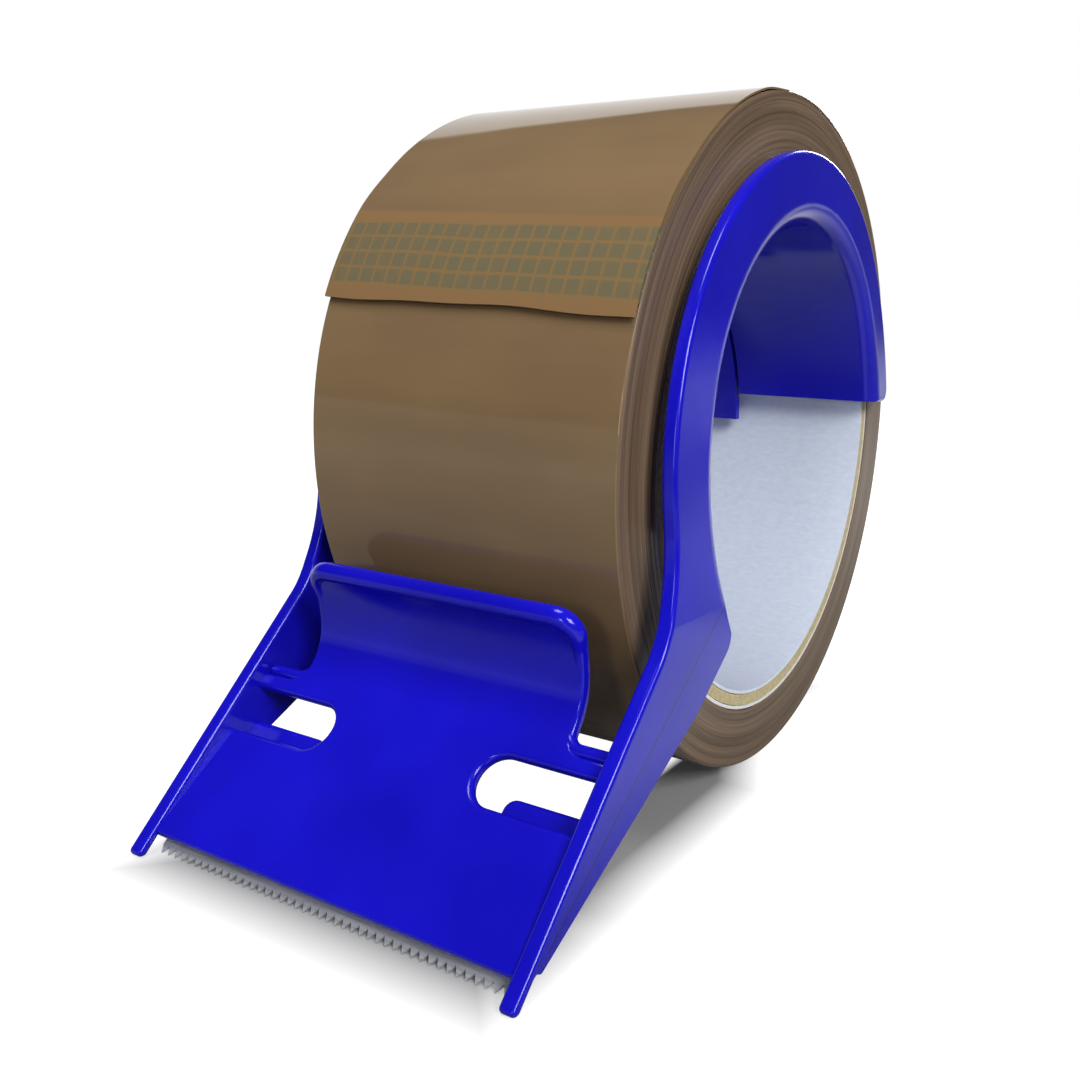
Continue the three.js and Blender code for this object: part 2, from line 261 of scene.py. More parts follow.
class Shape:
    """A closed body in millimetres, before it becomes a Blender object."""

    def __init__(self, points: np.ndarray, faces: Faces) -> None:
        """Keeps the points, a row of x, y and z for each, and the faces as the points' numbers."""
        self.points = points
        self.faces = faces

    @classmethod
    def loft(cls, outline: Sequence[Point], rings: Sequence[tuple[float, float]]) -> "Shape":
        """Stacks copies of an outline, each moved outwards by its own distance.

        Args:
            outline: The outline's points.
            rings: Each copy's height and outward distance, from the lowest up.

        Returns:
            The closed body.
        """
        flat = np.array(outline, float)
        ahead = np.roll(flat, -1, axis=0)
        area = float(np.sum(flat[:, 0] * ahead[:, 1] - ahead[:, 0] * flat[:, 1]))
        if area < 0:
            flat = flat[::-1]
            ahead = np.roll(flat, -1, axis=0)
        edge = ahead - flat
        normal = np.stack([edge[:, 1], -edge[:, 0]], 1) / np.linalg.norm(edge, axis=1, keepdims=True)
        before = np.roll(normal, 1, axis=0)
        outward = (normal + before) / (1 + np.sum(normal * before, axis=1, keepdims=True))
        stack = [np.column_stack([flat + outward * out, np.full(len(flat), height)]) for height, out in rings]
        return cls(np.concatenate(stack), stacked_faces(len(rings), len(flat)))

    @classmethod
    def prism(cls, outline: Sequence[Point], low: float, high: float, edge: float = 0.0) -> "Shape":
        """Draws an outline out straight, with its edges rounded inwards.

        Args:
            outline: The outline's points.
            low: The height at which it starts.
            high: The height at which it ends.
            edge: The radius of its edges.

        Returns:
            The closed body.
        """
        if edge <= 0:
            return cls.loft(outline, [(low, 0.0), (high, 0.0)])
        turn = quarter_round(edge, edge)
        rings = [(low + rise, -inward) for rise, inward in turn]
        rings += [(high - rise, -inward) for rise, inward in reversed(turn)]
        return cls.loft(outline, rings)

    @classmethod
    def lathe(cls, profile: Sequence[Point], sides: int = 288) -> "Shape":
        """Turns a profile round the X axis.

        Args:
            profile: Radius and X of each point. Its ends are closed with flat faces.
            sides: How many steps the turn has.

        Returns:
            The closed body.
        """
        turns = np.arange(sides) * 2 * math.pi / sides
        circle = np.column_stack([np.zeros(sides), np.cos(turns), np.sin(turns)])
        rings = [circle * radius + np.array([x, 0.0, 0.0]) for radius, x in profile]
        return cls(np.concatenate(rings), stacked_faces(len(profile), sides))

    @classmethod
    def ring(cls, profile: Sequence[Point], sides: int = 288) -> "Shape":
        """Turns a closed profile round the X axis, for a ring with a hole.

        Args:
            profile: Radius and X of each point, in order round the profile.
            sides: How many steps the turn has.

        Returns:
            The closed ring.
        """
        body = cls.lathe(profile, sides)
        last = (len(profile) - 1) * sides
        faces = body.faces[1:-1]
        faces += [(last + i, last + (i + 1) % sides, (i + 1) % sides, i) for i in range(sides)]
        return cls(body.points, faces)

    @classmethod
    def bead(cls, path: Sequence[Point], radii: Sequence[float], sides: int = 20) -> "Shape":
        """Draws a round bar along a flat path.

        Args:
            path: The bar's middle, in the flat.
            radii: Its radius at each point of the path.
            sides: How many sides it has.

        Returns:
            The closed bar, with its path at zero height.
        """
        line = np.array(path, float)
        way = np.gradient(line, axis=0)
        way /= np.linalg.norm(way, axis=1, keepdims=True)
        across = np.stack([way[:, 1], -way[:, 0]], 1)
        turns = np.arange(sides) * 2 * math.pi / sides
        rings = []
        for middle, sideways, radius in zip(line, across, radii):
            flat = middle + np.outer(np.cos(turns), sideways) * radius
            rings.append(np.column_stack([flat, np.sin(turns) * radius]))
        return cls(np.concatenate(rings), stacked_faces(len(line), sides))

    def placed(self, place: Callable[[np.ndarray], np.ndarray]) -> "Shape":
        """The same body with its points moved by a function of all of them."""
        return Shape(place(self.points), self.faces)

    def made(self, name: str) -> bpy.types.Object:
        """Makes the body a Blender object, still in millimetres.

        Args:
            name: The object's name.

        Returns:
            The object, its faces turned outwards.
        """
        mesh = bpy.data.meshes.new(name)
        mesh.from_pydata(self.points.tolist(), [], self.faces)
        reshaped(mesh, lambda body: bmesh.ops.recalc_face_normals(body, faces=body.faces[:]))
        piece = bpy.data.objects.new(name, mesh)
        bpy.context.scene.collection.objects.link(piece)
        return piece


def reshaped(mesh: bpy.types.Mesh, change: Callable[[bmesh.types.BMesh], object]) -> None:
    """Changes a mesh in place.

    Args:
        mesh: The mesh.
        change: What is done to it.
    """
    body = bmesh.new()
    body.from_mesh(mesh)
    change(body)
    body.to_mesh(mesh)
    body.free()
    mesh.update()


def sliced(mesh: bpy.types.Mesh, axis: int, places: Sequence[float]) -> None:
    """Cuts a mesh's faces along planes, so that it can be bent there.

    Args:
        mesh: The mesh.
        axis: The axis that the planes stand across.
        places: Where the planes stand on it.
    """
    normal = [float(axis == i) for i in range(3)]

    def cut(body: bmesh.types.BMesh) -> None:
        """Cuts along each plane in turn.

        Args:
            body: What is cut.
        """
        for place in places:
            parts = body.verts[:] + body.edges[:] + body.faces[:]
            at = [n * place for n in normal]
            bmesh.ops.bisect_plane(body, geom=parts, dist=SAME_PLACE, plane_co=at, plane_no=normal)

    reshaped(mesh, cut)


def moved(mesh: bpy.types.Mesh, place: Callable[[np.ndarray], np.ndarray]) -> None:
    """Moves a mesh's points.

    Args:
        mesh: The mesh.
        place: Gives the new rows of x, y and z from the old.
    """
    points = np.zeros(len(mesh.vertices) * 3)
    mesh.vertices.foreach_get("co", points)
    mesh.vertices.foreach_set("co", place(points.reshape(-1, 3)).ravel())
    mesh.update()


def combined(base: bpy.types.Object, others: Sequence[bpy.types.Object], cut: Cut) -> bpy.types.Object:
    """Joins solids to one, or takes them away from it.

    Args:
        base: The solid that stays.
        others: The solids that are used up.
        cut: What they do to it.

    Returns:
        The solid that stays.
    """
    for other in others:
        step = base.modifiers.new("cut", "BOOLEAN")
        step.operation = cut.value
        step.solver = "MANIFOLD"
        step.object = other
    bpy.context.view_layer.update()
    graph = bpy.context.evaluated_depsgraph_get()
    mesh = bpy.data.meshes.new_from_object(base.evaluated_get(graph))
    base.modifiers.clear()
    base.data = mesh
    for other in others:
        bpy.data.objects.remove(other)
    return base


def finished(piece: bpy.types.Object, body: Body, node: str) -> bpy.types.Object:
    """Args:
        piece: The piece, in millimetres about the foot of the roll.
        body: What it rides on.
        node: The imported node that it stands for.

    Returns:
        The piece.
    """
    foot = np.array([0.0, roll_middle()[0], 0.0])
    moved(piece.data, lambda points: points * MILLIMETRE + foot)
    piece.data.shade_smooth()
    piece.data.set_sharp_from_angle(angle=math.radians(SHARP_DEGREES))
    even = piece.modifiers.new("even_shading", "WEIGHTED_NORMAL")
    even.keep_sharp = True
    even.weight = LARGE_FACES
    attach(piece, body.value)
    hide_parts(node)
    return piece


def dressed(node: str, material: bpy.types.Material) -> bpy.types.Object:
    """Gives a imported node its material.

    Args:
        node: The node's name.
        material: Its material.

    Returns:
        The node's object.
    """
    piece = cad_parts[node]
    piece.data.materials.clear()
    piece.data.materials.append(material)
    return piece


def roll_middle() -> tuple[float, float]:
    """Y and Z of the roll's axis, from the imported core, in metres."""
    low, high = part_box("core_board")
    return (low.y + high.y) / 2, (low.z + high.z) / 2


class Nodes:
    """Short calls for the nodes of one tree."""

    def __init__(self, tree: bpy.types.NodeTree) -> None:
        """Keeps the tree that the nodes go into."""
        self.tree = tree

    def link(self, value: object, socket: Socket) -> None:
        """Puts a number, a colour or another node's output into a socket.

        Args:
            value: What goes in.
            socket: Where it goes.
        """
        if isinstance(value, Socket):
            self.tree.links.new(value, socket)
        else:
            socket.default_value = value

    def math(self, kind: str, *values: object) -> Socket:
        """A sum on one or more numbers.

        Args:
            kind: Blender's name for the operation.
            values: Its inputs.

        Returns:
            The result.
        """
        node = self.tree.nodes.new("ShaderNodeMath")
        node.operation = kind
        for value, socket in zip(values, node.inputs):
            self.link(value, socket)
        return node.outputs[0]

    def mapped(self, value: Socket, span: tuple[float, float], start: float, end: float,
               eased: bool = False) -> Socket:
        """Maps a span of numbers to another, and holds it at the ends.

        Args:
            value: The number that decides.
            span: Where the result starts to change, and where it ends.
            start: The result where the span starts.
            end: The result where it ends.
            eased: Whether the change begins and ends softly.

        Returns:
            The result.
        """
        node = self.tree.nodes.new("ShaderNodeMapRange")
        if eased:
            node.interpolation_type = "SMOOTHSTEP"
        for number, socket in zip((value, *span, start, end), node.inputs):
            self.link(number, socket)
        return node.outputs[0]

    def split(self, place: Socket) -> tuple[Socket, Socket, Socket]:
        """Takes a place apart.

        Args:
            place: The place.

        Returns:
            Its x, y and z.
        """
        node = self.tree.nodes.new("ShaderNodeSeparateXYZ")
        self.link(place, node.inputs[0])
        x, y, z = node.outputs
        return x, y, z

    def joined(self, *parts: object) -> Socket:
        """Puts a place together.

        Args:
            parts: Its x, and where wanted its y and z.

        Returns:
            The place.
        """
        node = self.tree.nodes.new("ShaderNodeCombineXYZ")
        for part, socket in zip(parts, node.inputs):
            self.link(part, socket)
        return node.outputs[0]

    def from_camera(self) -> Socket:
        """Whether a ray comes straight from the camera."""
        return self.tree.nodes.new("ShaderNodeLightPath").outputs["Is Camera Ray"]

    def from_sight(self) -> Socket:
        """Whether a ray comes from the camera, a mirror or glass, and not from a matt surface.

        Returns:
            1 or 0.
        """
        rays = self.tree.nodes.new("ShaderNodeLightPath").outputs
        mirrored = self.math("MAXIMUM", rays["Is Camera Ray"], rays["Is Glossy Ray"])
        return self.math("MAXIMUM", mirrored, rays["Is Transmission Ray"])


class Shading(Nodes):
    """The nodes of one material."""

    def __init__(self, name: str) -> None:
        """Starts a material with a plain surface shader.

        Args:
            name: The material's name.
        """
        self.material = bpy.data.materials.new(name)
        self.material.use_nodes = True
        super().__init__(self.material.node_tree)
        self.surface = self.tree.nodes["Principled BSDF"]
        self.place = self.tree.nodes.new("ShaderNodeTexCoord").outputs["Object"]

    def stretched(self, scale: Scale) -> Socket:
        """The place on the piece, stretched along the axes.

        Args:
            scale: How much it is stretched along each.

        Returns:
            The stretched place.
        """
        node = self.tree.nodes.new("ShaderNodeMapping")
        self.link(self.place, node.inputs["Vector"])
        node.inputs["Scale"].default_value = scale
        return node.outputs[0]

    def noise(self, scale: float, detail: float = 3.0, where: object = None) -> Socket:
        """Cloudy variation.

        Args:
            scale: How fine it is, in spots to the metre.
            detail: How many finer layers it has.
            where: The place that it is read at, if not the plain one.

        Returns:
            A number about a half.
        """
        node = self.tree.nodes.new("ShaderNodeTexNoise")
        node.inputs["Scale"].default_value = scale
        node.inputs["Detail"].default_value = detail
        self.link(where or self.place, node.inputs["Vector"])
        return node.outputs["Fac"]

    def blend(self, share: object, first: object, second: object) -> Socket:
        """Mixes two colours.

        Args:
            share: How much of the second there is.
            first: The first colour.
            second: The second colour.

        Returns:
            The mixed colour.
        """
        node = self.tree.nodes.new("ShaderNodeMix")
        node.data_type = "RGBA"
        # The two inputs and the output for colours come after those for numbers and places.
        for value, number in ((share, 0), (first, 6), (second, 7)):
            self.link(value, node.inputs[number])
        return node.outputs[2]

    def squares(self, ways: Sequence[Socket], pitch: float, line: tuple[float, float]) -> Socket:
        """A grid of squares with lines between them.

        Args:
            ways: The two distances along which the squares repeat.
            pitch: The distance from square to square.
            line: Where a line ends and where the square is full, from the line's middle, in pitches.

        Returns:
            How much of a square there is at each place.
        """
        cells = [self.math("FRACT", self.math("DIVIDE", way, pitch)) for way in ways]
        edges = [self.math("MINIMUM", cell, self.math("SUBTRACT", 1.0, cell)) for cell in cells]
        return self.mapped(self.math("MINIMUM", *edges), line, 0.0, 1.0)

    def relief(self, height: Socket, depth: float, strength: float) -> None:
        """Gives the surface a fine relief.

        Args:
            height: The relief's height, about 0 to 1.
            depth: What 1 is in metres.
            strength: How much of it shows.
        """
        node = self.tree.nodes.new("ShaderNodeBump")
        node.inputs["Distance"].default_value = depth
        node.inputs["Strength"].default_value = strength
        self.link(height, node.inputs["Height"])
        self.link(node.outputs["Normal"], self.surface.inputs["Normal"])

    def set(self, **values: object) -> None:
        """Sets or links the surface's sockets, named with underscores for spaces."""
        for name, value in values.items():
            self.link(value, self.surface.inputs[name.replace("_", " ")])

    def about_axis(self) -> tuple[Socket, Socket, Socket]:
        """Where each place of the surface lies about the roll's axis.

        Returns:
            X, the distance from the axis in metres and the turn about it in radians.
        """
        middle = roll_middle()
        x, y, z = self.split(self.place)
        ahead = self.math("SUBTRACT", y, middle[0])
        above = self.math("SUBTRACT", z, middle[1])
        squares = self.math("ADD", self.math("MULTIPLY", ahead, ahead), self.math("MULTIPLY", above, above))
        return x, self.math("SQRT", squares), self.math("ARCTAN2", above, ahead)


@dataclass(frozen=True)
class MouldedPlastic:
    """Glossy blue plastic, a little uneven from the mould, with a fine line of painted shade along each
    skirt. Millimetres.
    """

    line_from: Point
    line_angle: float
    outer_x: float
    line_width: float = 0.26
    line_start: float = 2.0
    line_inset: float = 0.1
    line_blur_share: float = 0.4
    # The line's colour is painted shade, standing in for the shade in the step where the skirt is set back.
    seam_shade_colour: int = 0x09066A
    colour: int = 0x1410BC
    deeper: int = 0x100CA8
    deeper_spots: float = 45.0
    deeper_span: tuple[float, float] = (0.35, 0.65)
    gloss: float = 0.32
    roughness: tuple[float, float] = (0.13, 0.2)
    roughness_spots: float = 160.0
    wave_spots: float = 260.0
    wave_depth: float = 0.02
    wave_strength: float = 0.5

    def line(self, made: Shading) -> Socket:
        """The fine line of painted shade between each cheek and its skirt, which is set back.

        Args:
            made: The plastic's shading.

        Returns:
            How much of the line there is at each place.
        """
        x, y, z = made.split(made.place)
        turn, half = math.radians(self.line_angle), self.line_width * MILLIMETRE / 2
        ahead = made.math("SUBTRACT", y, roll_middle()[0] + self.line_from[0] * MILLIMETRE)
        above = made.math("SUBTRACT", z, self.line_from[1] * MILLIMETRE)
        rise = made.math("MULTIPLY", above, math.cos(turn))
        off = made.math("SUBTRACT", rise, made.math("MULTIPLY", ahead, math.sin(turn)))
        near = made.math("ABSOLUTE", made.math("SUBTRACT", off, half))
        span = (half * (1 - self.line_blur_share), half * (1 + self.line_blur_share))
        shown = made.mapped(near, span, 1.0, 0.0)
        face = (self.outer_x - self.line_inset) * MILLIMETRE
        outside = made.math("GREATER_THAN", made.math("ABSOLUTE", x), face)
        begun = made.math("GREATER_THAN", ahead, self.line_start * MILLIMETRE)
        return made.math("MULTIPLY", shown, made.math("MULTIPLY", outside, begun))

    def material(self) -> bpy.types.Material:
        """Makes the plastic.

        Returns:
            The material.
        """
        made = Shading("moulded_plastic")
        cloud = made.mapped(made.noise(self.deeper_spots, detail=2.0), self.deeper_span, 0.0, 1.0)
        plain = made.blend(cloud, linear(self.colour), linear(self.deeper))
        made.set(
            # Painted shade: the dark line along each skirt's step.
            Base_Color=made.blend(self.line(made), plain, linear(self.seam_shade_colour)),
            Roughness=made.mapped(made.noise(self.roughness_spots), NOISE_SPAN, *self.roughness),
            Specular_IOR_Level=self.gloss,
        )
        waves = made.noise(self.wave_spots, detail=1.0)
        made.relief(waves, self.wave_depth * MILLIMETRE, self.wave_strength)
        return made.material


@dataclass(frozen=True)
class RolledSteel:
    """Bright steel strip with fine lines from rolling."""

    colour: int = 0xC3C5CB
    dull: int = 0x989AA1
    lines: Scale = (90.0, 2600.0, 2600.0)
    line_depth: float = 0.00003
    line_strength: float = 0.4
    roughness: tuple[float, float] = (0.25, 0.45)
    metal: float = 0.4

    def material(self) -> bpy.types.Material:
        """Makes the steel.

        Returns:
            The material.
        """
        made = Shading("rolled_steel")
        lines = made.noise(1.0, detail=4.0, where=made.stretched(self.lines))
        share = made.mapped(lines, NOISE_SPAN, 0.0, 1.0)
        made.set(
            Base_Color=made.blend(share, linear(self.colour), linear(self.dull)),
            Roughness=made.mapped(lines, NOISE_SPAN, *self.roughness),
            Metallic=self.metal,
        )
        made.relief(lines, self.line_depth, self.line_strength)
        return made.material


@dataclass(frozen=True)
class PaperPly:
    """Smooth paper with fibres, and where wanted the seam of its spiral winding. Metres."""

    name: str
    colour: int
    fibre: int
    seam_pitch: float = 0.0
    seam_colour: int = 0x8C98AC
    seam_share: float = 0.35
    seam_climb: float = 1.1
    seam_span: tuple[float, float] = (0.0, 0.006)
    bore_radius: float = 0.0381
    fibres: Scale = (700.0, 1500.0, 1500.0)
    fibre_depth: float = 0.00006
    fibre_strength: float = 0.5
    roughness: float = 0.75
    gloss: float = 0.25

    def seam(self, made: Shading) -> Socket:
        """The fine seam that climbs round the inside of the tube.

        Args:
            made: The paper's shading.

        Returns:
            How much of the seam there is at each place.
        """
        x, _, turn = made.about_axis()
        round_bore = made.math("MULTIPLY", turn, self.bore_radius)
        run = made.math("ADD", round_bore, made.math("MULTIPLY", x, self.seam_climb))
        share = made.math("FRACT", made.math("DIVIDE", run, self.seam_pitch))
        return made.mapped(made.math("ABSOLUTE", made.math("SUBTRACT", share, 0.5)), self.seam_span, 1.0, 0.0)

    def material(self) -> bpy.types.Material:
        """Makes the paper.

        Returns:
            The material.
        """
        made = Shading(self.name)
        fibres = made.noise(1.0, detail=5.0, where=made.stretched(self.fibres))
        share = made.mapped(fibres, NOISE_SPAN, 0.0, 1.0)
        colour = made.blend(share, linear(self.colour), linear(self.fibre))
        height = fibres
        if self.seam_pitch > 0:
            seam = self.seam(made)
            shown = made.math("MULTIPLY", seam, self.seam_share)
            colour = made.blend(shown, colour, linear(self.seam_colour))
            height = made.math("SUBTRACT", fibres, seam)
        made.set(Base_Color=colour, Roughness=self.roughness, Specular_IOR_Level=self.gloss)
        made.relief(height, self.fibre_depth, self.fibre_strength)
        return made.material


@dataclass(frozen=True)
class WoundBoard:
    """Tan board, its plies showing at the edge."""

    colour: int = 0xD2C49C
    ply: int = 0xAD9B72
    plies_per_metre: float = 2200.0
    ply_span: tuple[float, float] = (0.0, 0.25)
    ply_share: float = 0.5
    grain_spots: float = 1400.0
    grain_span: tuple[float, float] = (0.35, 0.75)
    grain_share: float = 0.7
    grain_depth: float = 0.0001
    grain_strength: float = 0.7
    roughness: float = 0.85
    gloss: float = 0.2

    def material(self) -> bpy.types.Material:
        """Makes the board.

        Returns:
            The material.
        """
        made = Shading("wound_board")
        _, radius, _ = made.about_axis()
        plies = made.math("FRACT", made.math("MULTIPLY", radius, self.plies_per_metre))
        grain = made.noise(self.grain_spots, detail=4.0)
        ply = made.math("MULTIPLY", made.mapped(plies, self.ply_span, 1.0, 0.0), self.ply_share)
        share = made.math("ADD", ply, made.mapped(grain, self.grain_span, 0.0, self.grain_share))
        made.set(
            Base_Color=made.blend(share, linear(self.colour), linear(self.ply)),
            Roughness=self.roughness,
            Specular_IOR_Level=self.gloss,
        )
        made.relief(grain, self.grain_depth, self.grain_strength)
        return made.material


@dataclass(frozen=True)
class TapeFilm:
    """Glossy brown film over its glue, a little cloudy and not quite flat."""

    name: str = "tape_film"
    colour: int = 0x766046
    cloud: int = 0x7E6749
    cloud_spots: float = 55.0
    cloud_span: tuple[float, float] = (0.75, 1.25)
    drawn: Scale = (30.0, 160.0, 160.0)
    wave_spots: float = 30.0
    wave_depth: float = 0.0004
    wave_strength: float = 0.5
    roughness: tuple[float, float] = (0.03, 0.07)
    gloss: float = 0.38

    def shading(self) -> Shading:
        """Makes the film's shading, with its colour still plain.

        Returns:
            The shading.
        """
        made = Shading(self.name)
        wide = made.noise(self.wave_spots, detail=2.0)
        made.set(Roughness=made.mapped(wide, NOISE_SPAN, *self.roughness), Specular_IOR_Level=self.gloss)
        made.relief(wide, self.wave_depth, self.wave_strength)
        return made

    def brown(self, made: Shading) -> Socket:
        """The film's clouded colour.

        Args:
            made: The film's shading.

        Returns:
            The colour.
        """
        drawn = made.noise(1.0, where=made.stretched(self.drawn))
        clouds = made.math("ADD", drawn, made.noise(self.cloud_spots))
        share = made.mapped(clouds, self.cloud_span, 0.0, 1.0)
        return made.blend(share, linear(self.colour), linear(self.cloud))

    def material(self) -> bpy.types.Material:
        """Makes the film.

        Returns:
            The material.
        """
        made = self.shading()
        made.set(Base_Color=self.brown(made))
        return made.material


@dataclass(frozen=True)
class PrintedFilm(TapeFilm):
    """The free end's film, with the strip below painted on it as plain squares, as if seen through it. Metres
    and radians.
    """

    name: str = "free_end_film"
    margin: int = 0x836645
    line: int = 0x7F6744
    square: int = 0x69624B
    radius: float = 0.0502
    end_middle: float = 2.7585
    end_slant: float = 0.76
    print_start: float = 0.0019
    print_wave: float = 0.0009
    print_wave_spots: float = 60.0
    pitch: float = 0.00232
    rows: int = 4
    first_column: float = 0.1
    line_span_share: tuple[float, float] = (0.05, 0.13)
    fade_spots: float = 420.0
    fade_span: tuple[float, float] = (0.25, 0.6)
    faded_share: float = 0.72
    margin_end: float = 0.0128
    margin_slant: float = 0.017
    margin_blur: float = 0.0002

    def material(self) -> bpy.types.Material:
        """Makes the printed film.

        Returns:
            The material.
        """
        made = self.shading()
        x, _, turn = made.about_axis()
        end = made.math("ADD", made.math("MULTIPLY", x, self.end_slant), self.end_middle)
        back = made.math("MULTIPLY", made.math("SUBTRACT", end, turn), self.radius)
        sway = made.math("SUBTRACT", made.noise(self.print_wave_spots, detail=1.0), 0.5)
        wave = made.math("MULTIPLY", sway, self.print_wave)
        inside = made.math("ADD", made.math("SUBTRACT", back, self.print_start), wave)
        ways = (inside, made.math("ADD", x, self.first_column))
        square = made.squares(ways, self.pitch, self.line_span_share)
        fade = made.mapped(made.noise(self.fade_spots), self.fade_span, self.faded_share, 1.0)
        begun = made.math("GREATER_THAN", inside, 0.0)
        on_print = made.math("MULTIPLY", begun, made.math("LESS_THAN", inside, self.rows * self.pitch))
        tilt = made.math("SUBTRACT", self.margin_end, made.math("MULTIPLY", x, self.margin_slant))
        blur = (-self.margin_blur, self.margin_blur)
        on_strip = made.mapped(made.math("SUBTRACT", tilt, back), blur, 0.0, 1.0)
        printed = made.blend(made.math("MULTIPLY", square, fade), linear(self.line), linear(self.square))
        strip = made.blend(on_print, linear(self.margin), printed)
        made.set(Base_Color=made.blend(on_strip, self.brown(made), strip))
        return made.material


@dataclass(frozen=True)
class RollSide:
    """The wound tape's side, with the fine rings of its turns."""

    light: int = 0x86705A
    dark: int = 0x4A3B2B
    rings_per_metre: float = 2400.0
    ring_change: float = 1.3
    bands_per_metre: float = 420.0
    band_share: float = 0.6
    ring_span: tuple[float, float] = (0.5, 1.1)
    ring_depth: float = 0.00009
    ring_strength: float = 0.8
    roughness: float = 0.34
    gloss: float = 0.25

    def material(self) -> bpy.types.Material:
        """Makes the roll's side.

        Returns:
            The material.
        """
        made = Shading("roll_side")
        _, radius, turn = made.about_axis()
        where = made.joined(
            made.math("MULTIPLY", radius, self.rings_per_metre),
            made.math("MULTIPLY", made.math("COSINE", turn), self.ring_change),
            made.math("MULTIPLY", made.math("SINE", turn), self.ring_change),
        )
        rings = made.noise(1.0, where=where)
        wide = made.joined(made.math("MULTIPLY", radius, self.bands_per_metre))
        bands = made.noise(1.0, detail=1.0, where=wide)
        both = made.math("ADD", rings, made.math("MULTIPLY", bands, self.band_share))
        share = made.mapped(both, self.ring_span, 0.0, 1.0)
        made.set(
            Base_Color=made.blend(share, linear(self.dark), linear(self.light)),
            Roughness=self.roughness,
            Specular_IOR_Level=self.gloss,
        )
        made.relief(rings, self.ring_depth, self.ring_strength)
        return made.material


@dataclass(frozen=True)
class GridStrip:
    """The printed strip under the free end: plain squares between pale lines. Metres."""

    ground: int = 0x8A7350
    square: int = 0x69624B
    radius: float = 0.05
    pitch: float = 0.0023
    first_column: float = 0.230805
    line_span_share: tuple[float, float] = (0.065, 0.095)
    fade_spots: float = 900.0
    fade_span: tuple[float, float] = (0.2, 0.5)
    faded_share: float = 0.8
    grain_spots: float = 1200.0
    grain_depth: float = 0.00003
    grain_strength: float = 0.4
    roughness: float = 0.5
    gloss: float = 0.3

    def material(self) -> bpy.types.Material:
        """Makes the strip.

        Returns:
            The material.
        """
        made = Shading("grid_strip")
        x, _, turn = made.about_axis()
        ways = (made.math("ADD", x, self.first_column), made.math("MULTIPLY", turn, self.radius))
        square = made.squares(ways, self.pitch, self.line_span_share)
        fade = made.mapped(made.noise(self.fade_spots), self.fade_span, self.faded_share, 1.0)
        share = made.math("MULTIPLY", square, fade)
        made.set(
            Base_Color=made.blend(share, linear(self.ground), linear(self.square)),
            Roughness=self.roughness,
            Specular_IOR_Level=self.gloss,
        )
        made.relief(made.noise(self.grain_spots), self.grain_depth, self.grain_strength)
        return made.material


